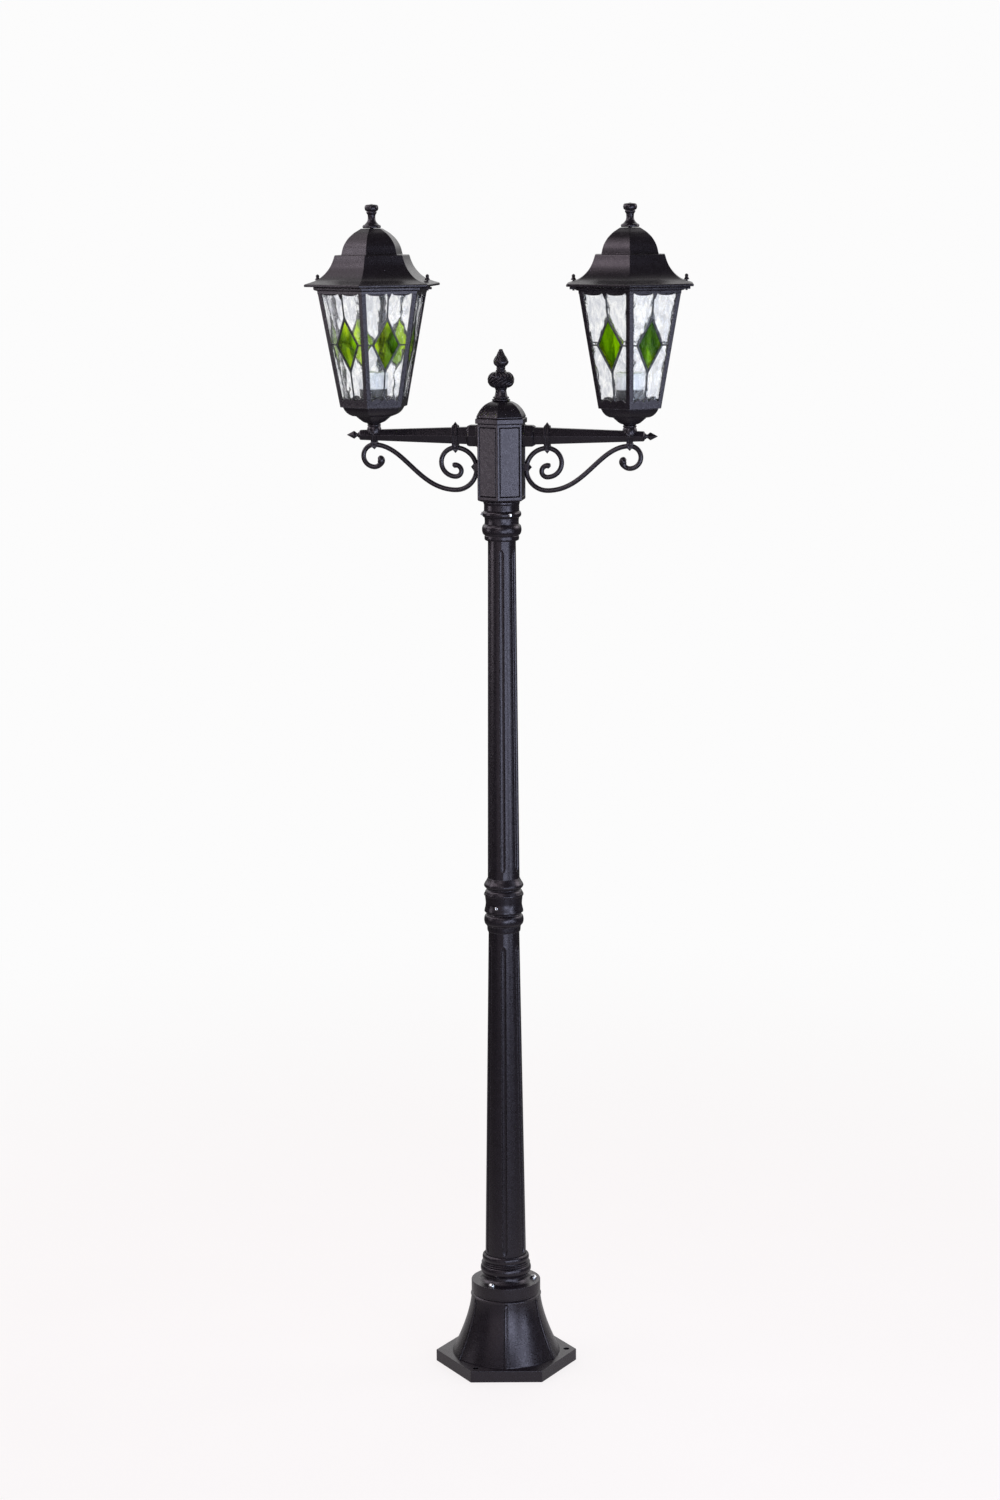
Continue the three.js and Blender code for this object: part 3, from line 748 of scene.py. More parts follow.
def foot_base():
    wall, ceiling, bore = 7, BELL["top"] - 12, 34
    plate_top = BELL["plate"]
    # The flared skin from the plate up, then the rim round the top of the bell.
    heights = [1, plate_top + 0.2, *np.linspace(plate_top + 1.5, BELL["top"] - 8.4, 34)]
    outside = [bell_ring(z) for z in heights]
    rim = [(bell_radius(BELL["top"] - 7) + r, z) for r, z in (
        (0.2, BELL["top"] - 7.6), (1.2, BELL["top"] - 7.2), (1.5, BELL["top"] - 6.2),
        (1.2, BELL["top"] - 5.2), (0.2, BELL["top"] - 4.4), (-2.6, BELL["top"] - 2.4),
        (-2.6, BELL["top"]),
    )]
    inside = [(bore, BELL["top"]), (bore, ceiling), (bell_radius(ceiling) - wall, ceiling)]
    inside += [(bell_radius(z) - wall, z) for z in np.linspace(ceiling, plate_top, 8)[1:]]
    inside.append((bell_radius(plate_top) - wall, 1))
    bell = loft(outside + matching_rings(outside[0], rim + inside), closed=True)

    outer = 135.0
    edge = [(outer, 0), (outer, plate_top - 1.2), (outer - 0.5, plate_top - 0.3)]
    edge.append((outer - 1.6, plate_top))
    rings = [flat_ring(hexagon(r, 2.0), z) for r, z in edge]
    well = bell_radius(plate_top) - wall + 1.5
    rings += matching_rings(rings[0], [(well, plate_top), (well, 0)])
    plate = moved(loft(rings, closed=True), turn("Z", 30))
    drills = joined([
        moved(rod(6, -2, plate_top + 5, 32), turn("Z", angle) @ shift(ANCHOR_CIRCLE, 0, 0))
        for angle in THIRDS
    ])
    return bell, edge_rounded(cut(plate, drills), 0.4, 60)


def column_flange():
    base = low("column_flange")
    profile = lift(
        [(34, 0), (65, 0, 0.3), (66, 1, 0.5), (66, 22.2, 1.2), (50.5, 22.2, 2.5),
         (47, 24.6, 4), (42.4, 29, 5), (41.4, 35.5, 2)]
        + bulge(43.4, 48.3, 36.7, 54)
        + bulge(45.2, 46.6, 54.6, 57.4, 5) + bulge(43.6, 44.9, 57.8, 60.6, 5)
        + [(42.6, 61.2)] + bulge(42.4, 44.6, 61.8, 72.7, 8) + [(40.7, 74.7, 1)]
        + [(39.9, 74.7), (39.9, 36.4), (34, 36.4)],
        base,
    )
    body = turned(profile, closed=True)
    holes = joined([
        moved(rod(2.5, base - 3, base + 24), turn("Z", angle) @ shift(FLANGE_CIRCLE, 0, 0))
        for angle in THIRDS
    ])
    return cut(body, holes)


def socket_head(radius, height, seat, tip, shank):
    """A screw along +Z with a domed head and a hex socket, from its tip to its head."""
    outline = circle(24)
    hexed = outline * (COS30 / np.cos((np.degrees(np.arctan2(outline[:, 1], outline[:, 0]))
                                       % 60 - 30) * math.pi / 180))[:, None]
    rings = [flat_ring(outline * 0, tip)]
    for r, z in filleted([(shank * 0.6, tip), (shank, tip + 1), (shank, seat), (radius, seat, 0.3),
                          (radius, seat + height * 0.45, 1.2), (radius * 0.55, seat + height)]):
        rings.append(flat_ring(outline * r, z))
    for r, z in ((radius * 0.45, seat + height * 0.98), (radius * 0.43, seat + height * 0.3)):
        rings.append(flat_ring(hexed * r, z))
    rings.append(flat_ring(outline * 0, seat + height * 0.22))
    return loft(rings)


def build_foot():
    bell, plate = foot_base()
    piece("foot_bell", bell, "column", stands_for="foot_base", matrix=FOOT)
    piece("foot_plate", plate, "column", matrix=FOOT)
    piece("neck_flange", column_flange(), "column", stands_for="column_flange", matrix=FOOT)
    for i, angle in enumerate(THIRDS):
        node = f"flange_screw_{i + 1}"
        top, bottom = high(node), low(node)
        screw = socket_head(radius=6.5, height=5.6, seat=top - 3.9, tip=bottom, shank=2)
        piece(f"flange_bolt_{i + 1}", screw, "column", "screw_chrome", node,
              FOOT @ turn("Z", angle) @ shift(FLANGE_CIRCLE, 0, 0))


# ---- Column ----
FLUTES = 6
FLUTE_START = -92  # degrees, the front flute
FLUTE_SECTION = (  # across a flute: place as a share of its half-width, and depth
    (-1.2, 0.0), (-1.08, -0.2), (-0.96, -0.16), (-0.84, 0.45), (-0.6, 0.85), (-0.3, 1.0),
    (0.3, 1.0), (0.6, 0.85), (0.84, 0.45), (0.96, -0.16), (1.08, -0.2), (1.2, 0.0),
)


def fluted_ring(radius, z, half_width, depth):
    points = []
    step = math.radians(360 / FLUTES)
    reach = FLUTE_SECTION[-1][0] * half_width / radius
    for k in range(FLUTES):
        middle = math.radians(FLUTE_START) + step * k
        section = [(share * half_width / radius, fall * depth) for share, fall in FLUTE_SECTION]
        between = [(angle, 0.0) for angle in np.linspace(reach, step - reach, 7)[1:-1]]
        for angle, fall in section + between:
            r = radius - fall
            points.append((r * math.cos(middle + angle), r * math.sin(middle + angle), z))
    return np.array(points)


def fluted_tube(bottom, top, bottom_radius, top_radius, flute_low, flute_high, half_width):
    """The outside of a tapered tube whose flutes end in rounded tips."""
    tip, depth = 12, 2.2
    ends = tip * (1 - np.cos(np.linspace(0, np.pi / 2, 9)))
    heights = sorted({bottom, top, flute_low - 0.4, flute_high + 0.4}
                     | {flute_low + e for e in ends} | {flute_high - e for e in ends}
                     | set(np.linspace(flute_low + tip, flute_high - tip, 14)))
    rings = []
    for z in heights:
        radius = bottom_radius + (top_radius - bottom_radius) * (z - bottom) / (top - bottom)
        inside = min(max(min(z - flute_low, flute_high - z) / tip, 0), 1)
        fade = math.sqrt(1 - (1 - inside) ** 2)
        width = half_width * (0.75 + 0.25 * radius / bottom_radius)
        rings.append(fluted_ring(radius, z, width * max(fade, 0.05), depth * fade))
    return rings


def tube_mesh(outside, rest):
    """Adds the spigot and the bore, as (radius, z) points, to a tube's outer rings."""
    return loft(outside + matching_rings(outside[0], rest), closed=True)


def lower_tube():
    bottom, end = low("lower_tube"), high("lower_tube")
    top = end - 48
    outside = fluted_tube(bottom, top, bottom_radius=39.4, top_radius=29,
                          flute_low=bottom + 41, flute_high=top - 24, half_width=5)
    rest = [(26.7, top), (26.7, end), (23.7, end), (23.7, top - 10), (36.4, bottom)]
    return tube_mesh(outside, rest)


def upper_tube():
    start, top = low("upper_tube"), high("upper_tube")
    bottom = start + 51.3
    outside = fluted_tube(bottom, top, bottom_radius=29.9, top_radius=25.6,
                          flute_low=bottom + 13.7, flute_high=top - 48, half_width=4.6)
    rest = [(22.6, top), (23.7, start), (26.7, start), (26.7, bottom)]
    return tube_mesh(outside, rest)


COUPLING_ANGLE = -113  # degrees, the set screw of the coupling
COLLAR_ANGLES = (-65, 175, 55)


def set_screw_drill(z, angle):
    return moved(moved(rod(2.4, 20, 60), ALONG_X), turn("Z", angle) @ shift(0, 0, z))


def mid_coupling():
    base = low("mid_coupling")
    height = high("mid_coupling") - base
    profile = (
        [(29.6, 0), (30.7, 0.8, 0.5), (31.2, 3, 0.8), (31.6, 10.6, 0.6)]
        + bulge(31.9, 32.6, 11, 12.6, 4) + bulge(32.4, 37.2, 13.2, 33.0, 14)
        + [(31.6, 34.3, 0.4)] + bulge(31.8, 32.4, 34.6, 36.2, 4)
        + [(34.2, 36.8, 0.8), (36.6, 38.6, 1.2), (36.5, 41, 1.5), (34.4, 50, 6), (33.9, 55, 6),
           (35, 64, 4), (35.4, 68.4, 0.5), (36.2, 69, 0.4)]
        + bulge(36.2, 37.2, 69.4, 73.6, 6)
        + [(34.2, 78.6, 2), (31.6, 81, 0.6)] + bulge(31.6, 32.3, 81.4, 83, 4)
        + [(34, 83.8, 0.8), (37.3, 88.2, 1.6), (36.6, 91.6, 2), (32.6, 97.8, 3),
           (30.4, height, 0.6)]
        + [(27.2, height), (27.2, 0)]
    )
    body = turned(lift(profile, base), closed=True)
    return cut(body, set_screw_drill(base + 49.5, COUPLING_ANGLE))


def top_collar():
    base = low("top_collar")
    profile = (
        [(29, 0), (31.4, 1.2, 1), (32, 3.4, 1), (32, 8.6, 0.6), (31.2, 9.6, 0.5)]
        + bulge(31.8, 36.5, 10.4, 30.4, 14)
        + [(31.6, 31.6, 0.6), (31.4, 37, 2), (31.9, 42, 1)] + bulge(32.4, 36.2, 43.2, 54.8, 10)
        + [(32.7, 56.2, 1), (32.4, 66, 1), (33.6, 69, 0.8), (33.8, 71.5)]
        + [(26.3, 71.5), (26.3, 0)]
    )
    body = turned(lift(profile, base), closed=True)
    return cut(body, joined([set_screw_drill(base + 49.3, a) for a in COLLAR_ANGLES]))


def set_screw(seat, z, angle):
    screw = socket_head(radius=3.4, height=2.6, seat=seat, tip=26.4, shank=1.9)
    return moved(screw, FOOT @ turn("Z", angle) @ shift(0, 0, z) @ ALONG_X)


def build_column():
    piece("fluted_tube_lower", lower_tube(), "column", stands_for="lower_tube", matrix=FOOT)
    piece("coupling_ring", mid_coupling(), "column", stands_for="mid_coupling", matrix=FOOT)
    piece("fluted_tube_upper", upper_tube(), "column", stands_for="upper_tube", matrix=FOOT)
    piece("collar_ring", top_collar(), "column", stands_for="top_collar", matrix=FOOT)
    screw_z = (low("coupling_screw") + high("coupling_screw")) / 2
    piece("coupling_set_screw", set_screw(35.7, screw_z, COUPLING_ANGLE), "column",
          "screw_chrome", "coupling_screw")
    collar_z = (low("collar_screw_1") + high("collar_screw_1")) / 2
    for i, angle in enumerate(COLLAR_ANGLES):
        node = f"collar_screw_{i + 1}" if i < 2 else None
        piece(f"collar_set_screw_{i + 1}", set_screw(36.5, collar_z, angle), "column",
              "screw_chrome", node)


# ---- Head ----
def head_box():
    """The six-sided box. Each face holds a shallow recessed panel."""
    base = low("head_box") + 34.4
    edge, top = base + 4.6, high("head_box")
    radius = 47.5
    shell = hex_turned(
        [(0, base), (37, base, 0.6), (46.3, base + 3, 0.5), (radius, edge, 0.8), (radius, top),
         (0, top)],
        1.0,
    )
    apothem = radius * COS30
    width = radius - 7
    tall = top - edge - 9
    pockets = []
    for k in range(6):
        pocket = loft([flat_ring(rectangle(width - trim, tall - trim), depth)
                       for trim, depth in ((5.2, -0.5), (2.6, -2.4), (0, 0), (0, 3))])
        middle = shift(0, -apothem, (edge + top) / 2 + 0.6)
        pockets.append(moved(pocket, turn("Z", 30 + 60 * k) @ middle @ turn("X", 90)))
    panelled = cut(shell, joined(pockets))
    hollow = hex_turned([(0, base + 13.6), (43.5, base + 13.6), (43.5, top + 3), (0, top + 3)], 1)
    panelled = cut(panelled, hollow)
    panelled = cut(panelled, rod(21.5, base - 4, base + 16, FINE))
    wires = moved(rod(8, -60, 60), shift(0, 0, ARM_Z) @ ALONG_X)
    panelled = edge_rounded(cut(panelled, wires), 0.35, 25)
    tongue = turned(
        [(25.3, base - 34.4), (25.3, base + 1), (21.5, base + 1), (21.5, base - 34.4)], 64,
        closed=True,
    )
    return joined([panelled, tongue])


def head_cap():
    seat, top = high("head_box") + GAP, high("head_cap")
    lip = 42.8
    outside = [
        (lip, -6), (lip, 0), (47.3, 0, 0.3), (46, 0.8), (50.7, 1.4, 0.4), (51.3, 2.2, 0.5),
        (51.3, 9.8, 0.5), (50.5, 10.6, 0.3), (47.6, 11.2), (49, 12, 0.4), (49, 13.2, 0.5),
        (48.3, 15.5, 2), (45.8, 20, 4), (41.5, 26.7, 4), (33.5, 34.5, 4), (24, 39.6, 4),
    ]
    inside = [
        (15.4, 0), (5, 0), (5, -3), (22, -6), (31, -10), (38.5, -17), (43, -24.5), (44.5, -32.5),
    ]
    foot = [(lip - 2.5, 3), (lip - 2.5, -6)]
    return hex_turned(lift(outside, seat) + lift(inside, top) + lift(foot, seat), 1.4, closed=True)


def wavy_turned(profile, wave, sides=120):
    """A turned piece whose radius is changed by wave(angles, z)."""
    angles = np.linspace(0, 2 * np.pi, sides, endpoint=False)
    rings = []
    for r, z in profile:
        radius = max(r, 0) + (wave(angles, z) if r > 0 else 0)
        ring = np.stack([np.cos(angles) * radius, np.sin(angles) * radius], 1)
        rings.append(flat_ring(ring, z))
    return loft(rings, sharp=math.radians(60))


def head_finial():
    """A leafy bud over a twisted, gadrooned bulb, on a waisted foot with two rings."""
    seat = high("head_cap") + GAP
    foot = filleted(lift(
        [(0, -9), (2.8, -9), (2.8, 0), (16.4, 0, 0.3), (17.2, 1.6, 1), (16.2, 3.2, 0.7),
         (12.6, 3.4, 0.3), (12.6, 4.2, 0.3), (14.6, 4.6, 0.6), (15, 6, 0.8), (14.2, 7.4, 0.6),
         (12.2, 7.7, 0.3), (11.2, 10.6, 2), (10.1, 16, 3), (9.9, 20, 2), (11.2, 21.6, 0.5),
         (11.4, 22.6, 0.4), (10.6, 23.2, 0.3)],
        seat,
    ))
    bulb_low, bulb_high = seat + 23.4, seat + 52.6
    bulb = bulge(11.4, 23.4, bulb_low, bulb_high, 40)
    neck = filleted(lift(
        [(10.4, 0.4), (9.4, 1, 0.4), (9.6, 2.6, 0.7), (8.3, 3.6, 0.5), (7.5, 5, 0.5),
         (8.4, 5.8, 0.4), (8.3, 7.4, 0.5), (7.6, 8, 0.3), (8.6, 9.4, 0.4)],
        bulb_high,
    ))
    bud_low, bud_high = neck[-1][1] + 0.3, high("head_finial")
    length = bud_high - bud_low
    shares = (0, 0.08, 0.2, 0.32, 0.45, 0.565, 0.77, 0.93, 1)
    radii = (8, 11.2, 13.2, 13.6, 11.8, 9.4, 5.7, 3.6, 3.0)
    bud = [(np.interp(t, shares, radii), bud_low + t * (length - 0.6))
           for t in np.linspace(0, 1, 64)]
    tip = [(2.2, bud_high - 0.1), (0, bud_high)]

    def wave(angles, z):
        if bulb_low <= z <= bulb_high:
            share = (z - bulb_low) / (bulb_high - bulb_low)
            twist = 0.3 * math.sin(2 * math.pi * (share - 0.5)) + 0.5 * share
            lobes = np.abs(np.sin(7 * (angles - twist)))
            return (lobes ** 0.7 - 0.7) * 4.2 * math.sin(math.pi * share) ** 0.5
        if bud_low < z < bud_high - 0.7:
            row = (z - bud_low) / length * 3.4
            phase = (math.floor(row) % 2) * math.pi / 7
            off = np.abs((angles - phase + 0.25 * row) % (2 * math.pi / 7) - math.pi / 7)
            across = off / (math.pi / 7 * (1.08 - (row % 1) ** 1.8))
            leaf = np.sqrt(np.maximum(1 - across ** 2, 0))
            return 1.7 * leaf * (0.6 + 0.4 * (row % 1)) - 0.7
        return 0

    return wavy_turned(foot + bulb + neck + bud + tip, wave, sides=196)


def terminal_block():
    """A two-pole block with its screw wells, inside the box."""
    box_low, box_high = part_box("terminal_block")
    centre = (box_low + box_high) / 2 / MM
    size = (box_high - box_low) / MM
    block = prism(rectangle(size.x, size.y), size.z, 0.8)
    wells = joined([
        moved(rod(2.6, 0, 20), shift(x, 0, 1)) for x in (-6.5, 0, 6.5)
    ])
    return moved(cut(block, wells), shift(*centre))


def build_head():
    piece("head_casing", head_box(), "head", stands_for="head_box")
    piece("head_dome", head_cap(), "head", stands_for="head_cap")
    piece("head_bud_finial", head_finial(), "head", stands_for="head_finial")
    piece("wiring_block", terminal_block(), "head", "inner_plastic", "terminal_block")


# ---- Arms, built along +X with the arm's axis at z = 0 ----
ARM_START, ARM_END = 62.8, 262
ARM_START_RADIUS, ARM_END_RADIUS = 17.9, 10.4
ROD = 4.5
STRAP_THICKNESS = 3.2
OUTER_ROD_Z = -17.5  # the scroll's rod under the lantern


def arm_radius(x):
    return ARM_START_RADIUS + (ARM_END_RADIUS - ARM_START_RADIUS) * (
        (x - ARM_START) / (ARM_END - ARM_START))


def arm_sleeve():
    start, end = SLEEVE_START, SLEEVE_END
    return moved(hex_turned(
        [(9, start), (23.4, start, 0.5), (23.4, start + 2.6, 0.6), (22.4, start + 3.4, 0.3),
         (22.2, end - 4, 1), (20.2, end - 0.6, 0.8), (18.8, end), (15.6, end), (15.6, start + 4),
         (9, start + 4)],
        1.0, closed=True,
    ), ALONG_X)


def arm_bar():
    start = ARM_START
    return moved(hex_turned(
        [(0, SLEEVE_START + 4.5), (15, SLEEVE_START + 4.5), (15, start - 0.1),
         (ARM_START_RADIUS, start, 0.3), (ARM_END_RADIUS, ARM_END, 0.6),
         (ARM_END_RADIUS - 2.6, ARM_END + 2, 0.3), (0, ARM_END + 2)],
        0.9,
    ), ALONG_X)


def arm_tip():
    start = ARM_END + 2 + GAP
    neck = turned(
        [(0, start), (5.4, start, 0.5), (5.4, start + 1.6, 0.5), (3.6, start + 2.8, 0.6),
         (3.4, start + 4.4, 0.5), (4.4, start + 6, 0.4), (0, start + 6)], 32)
    corners = np.array([(1, 0), (0, 1), (-1, 0), (0, -1)], float)
    head = loft([flat_ring(corners * r, z) for r, z in filleted(
        [(3.6, start + 5), (7.4, start + 9.6, 1.2), (6.9, start + 11, 1), (0.35, start + 23.4)])])
    return moved(joined([neck, head]), ALONG_X)


def arc(x, z, radius, start, end, steps):
    angles = np.radians(np.linspace(start, end, steps + 1))
    return [np.array([x + radius * math.cos(a), z + radius * math.sin(a)]) for a in angles]


def scroll_points():
    """The rod's centre line: inner curl, loop, sweep out, outer loop and curl."""
    ends = [np.array(p, float) for p in (
        (CLAMP_X, -100.4), (CLAMP_X + 70, -100.4), (REACH - 56, OUTER_ROD_Z),
        (REACH, OUTER_ROD_Z))]
    sweep = []
    for t in np.linspace(0, 1, 33):
        weights = ((1 - t) ** 3, 3 * t * (1 - t) ** 2, 3 * t * t * (1 - t), t ** 3)
        sweep.append(sum(w * p for w, p in zip(weights, ends)))
    stretches = [
        arc(CLAMP_X, -65, 10.8, 56, 270, 22), arc(CLAMP_X, -49, 26.8, -90, 90, 26),
        arc(CLAMP_X, -61.3, 39.1, 90, 270, 34), sweep,
        arc(REACH, -38.3, 20.8, 90, -90, 24), arc(REACH, -46, 13.1, 270, 200, 8),
        arc(REACH - 6.2, -48.2, 6.5, 200, 90, 8),
    ]
    points = list(stretches[0])
    for stretch in stretches[1:]:
        points.extend(stretch[1:])
    return np.array(points)


def scroll():
    """A round rod that ends in a rounded tip inside, and in a fat bead outside."""
    points = scroll_points()
    for _ in range(3):
        points[1:-1] = (points[:-2] + 2 * points[1:-1] + points[2:]) / 4
    heading = np.gradient(points, axis=0)
    heading /= np.linalg.norm(heading, axis=1)[:, None]
    travelled = np.concatenate([[0], np.cumsum(np.linalg.norm(np.diff(points, axis=0), axis=1))])
    length = travelled[-1]
    rings = []
    section = circle(20)
    for (x, z), (dx, dz), from_start in zip(points, heading, travelled):
        from_end = length - from_start
        radius = ROD + 0.7 * math.exp(-((from_start - 4) / 6) ** 2)
        radius += 3.0 * math.exp(-((from_end - 7) / 8) ** 2)
        radius *= math.sqrt(1 - max(0, 1 - from_start / 3) ** 2 * 0.98)
        radius *= math.sqrt(1 - max(0, 1 - from_end / 6) ** 2 * 0.98)
        across = np.array([-dz, 0, dx])
        ring = [np.array([x, 0, z]) + radius * (c * across + s * np.array([0, -1, 0]))
                for c, s in section]
        rings.append(ring)
    return loft(rings, sharp=math.radians(60))


def band(x, bar_radius, rod_z, thickness, grow=0.0):
    """One strip of a strap, which goes round the bar and the rod."""
    side = bar_radius + STRAP_THICKNESS + grow
    flat = side * COS30
    half = [(side / 2, flat), (side, 0), (side / 2, -flat), (7.4 + grow, rod_z - 1),
            (6.4 + grow, rod_z - 4.8)]
    body = prism(half[::-1] + [(-y, z) for y, z in half], thickness, 0.5)
    return moved(body, shift(x, 0, 0) @ turn("Z", 90) @ turn("X", 90))


def spike(width, depth, height, up=True):
    """A four-sided point with a short plinth."""
    corners = rectangle(width, depth)
    rings = [flat_ring(corners * share, z * height) for share, z in (
        (0.82, 0), (1, 0.1), (1, 0.22), (0.72, 0.34), (0.06, 1))]
    mesh = loft(rings)
    return mesh if up else moved(mesh, turn("X", 180))


def strap(x, bar_radius, rod_z, tip_z, crown):
    """Two strips side by side over a narrower core, a waist ring and a pendant point."""
    parts = [band(x - 3.5, bar_radius, rod_z, 3.8), band(x + 3.5, bar_radius, rod_z, 3.8),
             band(x, bar_radius, rod_z, 8.6, -1.3)]
    waist = -(bar_radius + STRAP_THICKNESS) * COS30
    parts.append(moved(prism(rectangle(12.8, 16.4), 2.2, 0.7), shift(x, 0, waist - 1.4)))
    parts.append(moved(spike(11, 12.4, rod_z - 2.6 - tip_z, up=False), shift(x, 0, rod_z - 2.6)))
    if crown:
        parts.append(moved(spike(10.5, 12, crown), shift(x, 0, -waist - 0.6)))
    return joined(parts)


def inner_clamp():
    return strap(CLAMP_X, arm_radius(CLAMP_X), rod_z=-22.2, tip_z=-32.3, crown=7.6)


def lantern_saddle():
    """The strap under the lantern, with the bead that the lantern turns on."""
    top = high("right_lantern_saddle") - ARM_Z
    bead = turned(
        [(0, -9), (6.2, -9), (8.6, -4, 2), (11.8, 1.5, 3), (13.3, 6, 3), (13.2, 11, 3),
         (12.2, 15, 2), (11.2, 16.4, 0.5), (12.6, 17.4, 0.6), (12.4, top - 0.6, 0.5),
         (9, top), (0, top)], 64)
    body = strap(REACH, arm_radius(REACH), rod_z=OUTER_ROD_Z, tip_z=-26.5, crown=0)
    return joined([body, moved(bead, shift(REACH, 0, 0))])


def scroll_clip():
    """The ridged, pointed clip that holds the scroll on the head box."""
    back, z = SLEEVE_START, (low("right_scroll_clip") + high("right_scroll_clip")) / 2 - ARM_Z
    half = 8
    outline = [(-half, 0), (half, 0)]
    for y in (half, 3.2, -3.2):
        outline += [(y, 7.2), (y - 1.0, 8.4), (y - 3.4, 8.4), (y - 4.2, 7.4)]
    outline = np.array(outline + [(-half, 7.2)], float)
    block = moved(prism(outline, 13.4, 0.5), shift(back, 0, z) @ turn("Y", 90) @ turn("Z", -90)
                  @ turn("X", 90))
    point = moved(spike(15, 12.8, 7.2), shift(back + 7.6, 0, z) @ ALONG_X)
    return joined([block, point])


def build_arms():
    for side in SIDES:
        frame_of_arm = shift(0, 0, ARM_Z)
        if side == "left":
            frame_of_arm = frame_of_arm @ turn("Z", 180)
        for make in (
            arm_sleeve, arm_bar, arm_tip, scroll, inner_clamp, lantern_saddle, scroll_clip,
        ):
            node = f"{side}_{make.__name__}"
            piece(f"{node}_fine", make(), "head", stands_for=node, matrix=frame_of_arm)


# ---- Lanterns, built about Z at their own axis ----
def cage_radius(z):
    return CAGE_BASE_RADIUS + (CAGE_EAVE_RADIUS - CAGE_BASE_RADIUS) * (
        (z - CAGE_BASE) / (CAGE_EAVE - CAGE_BASE))


def up_face(z):
    """Distance up the sloping face from its foot to height z."""
    return (z - CAGE_BASE) / math.cos(FACE_TILT)


def on_face(mesh, apothem, i):
    """Leans a panel drawn in the XY plane and sets it on face number i, facing out."""
    lean = shift(0, -apothem, CAGE_BASE) @ turn("X", 90 + math.degrees(FACE_TILT))
    return moved(mesh, turn("Z", 30 + 60 * i) @ lean)


WINDOW_LOW, WINDOW_HIGH = CAGE_BASE + 13.7, CAGE_BASE + 206.7
BAR = 8


def scallops(half, level, spike_tip, swag, sense):
    """Half of a window's scalloped edge, from the bar to the middle spike."""
    points = []
    notch, foot = 2.2, 4.2
    for t in np.linspace(0, np.pi, 7)[:-1]:
        points.append((half - notch + notch * math.cos(t), level + sense * 1.3 * math.sin(t)))
    inner = half - 2 * notch
    for t in np.linspace(0, np.pi, 13)[:-1]:
        middle, reach = (inner + foot + 2.4) / 2, (inner - foot - 2.4) / 2
        points.append((middle + reach * math.cos(t), level - sense * swag * math.sin(t)))
    for t in np.linspace(0, np.pi, 5)[:-1]:
        points.append((foot + 1.2 + 1.2 * math.cos(t), level + sense * 0.9 * math.sin(t)))
    points.append((foot, level))
    points.append((0.9, level - sense * (spike_tip - 1.2)))
    points.append((0.0, level - sense * spike_tip))
    return points


def window_outline():
    bottom, top = up_face(WINDOW_LOW), up_face(WINDOW_HIGH)
    low_half = cage_radius(WINDOW_LOW) / 2 - BAR
    high_half = cage_radius(WINDOW_HIGH) / 2 - BAR
    upper = scallops(high_half, top, 10, 3.2, 1)
    lower = scallops(low_half, bottom, 4.5, 3.0, -1)
    right = lower[::-1][:-1] + [(low_half, bottom), (high_half, top)] + upper[1:]
    left = [(-x, y) for x, y in right][::-1]
    return np.array(right + left[1:-1])


def cage():
    """The frame: six sloping bars, a base rail, a scalloped top rail and a flange."""
    base, eave, top = CAGE_BASE, CAGE_EAVE, high("left_cage")
    wall = CAGE_WALL
    tube = hex_turned(
        [(54, base), (64.6, base), (65.6, base + 0.8), (65.9, base + 3), (66.6, base + 6.4),
         (cage_radius(eave - 7), eave - 7), (cage_radius(eave - 7) + 0.8, eave - 6.2),
         (106.6, eave - 1), (112.4, eave + 0.3), (113, eave + 1), (113, top - 0.5), (112.4, top),
         (cage_radius(top) - wall, top), (cage_radius(base + 3.7) - wall, base + 3.7),
         (54, base + 3.7)],
        1.0, closed=True,
    )
    outline = window_outline()
    windows = joined([
        on_face(prism(outline, 16), CAGE_BASE_RADIUS * COS30, i) for i in range(6)
    ])
    opened = edge_rounded(cut(tube, windows), 0.45, 50)
    lugs = []
    for sign in (-1, 1):
        lug = prism(rectangle(14, 14), 4.3, 0.6)
        lugs.append(moved(lug, shift(sign * NUT_PLACE, 0, top - 2.4)))
    return joined([opened, *lugs])


def bowl():
    """The six-sided cup under the cage, running down to a round neck."""
    outside = [
        (0, 0), (12.6, 0, 0.4), (13.6, 0.8, 0.6), (13.8, 1.8, 0.6), (17.5, 2.4, 1), (22, 4.4, 2),
        (27.6, 8.6, 3), (33.6, 13.2, 1), (34.6, 14.6, 0.8), (41.8, 15.4, 0.8), (44.4, 16.4, 1),
        (48.6, 18.2, 2), (53.4, 21.8, 3), (57.2, 26, 3),
    ]
    inside = [(59.8, -0.8, 0.8), (60, 0), (55.5, 0), (52.6, -5.4), (45.6, -12), (0, -12)]
    return hex_turned(lift(outside, low("left_bowl")) + lift(inside, high("left_bowl")), 1.3)


def wave_field(seed, count=26, shortest=9, longest=34):
    """A smooth random height field, as a function of x and y in millimetres."""
    random = np.random.RandomState(seed)
    angle = random.uniform(0, 2 * np.pi, count)
    length = shortest * (longest / shortest) ** random.uniform(0, 1, count)
    phase = random.uniform(0, 2 * np.pi, count)
    kx, ky = 2 * np.pi * np.cos(angle) / length, 2 * np.pi * np.sin(angle) / length
    size = length / length.sum() * math.sqrt(count) * 0.5

    def height(x, y):
        waves = np.sin(np.multiply.outer(x, kx) + np.multiply.outer(y, ky) + phase)
        return waves @ size

    return height


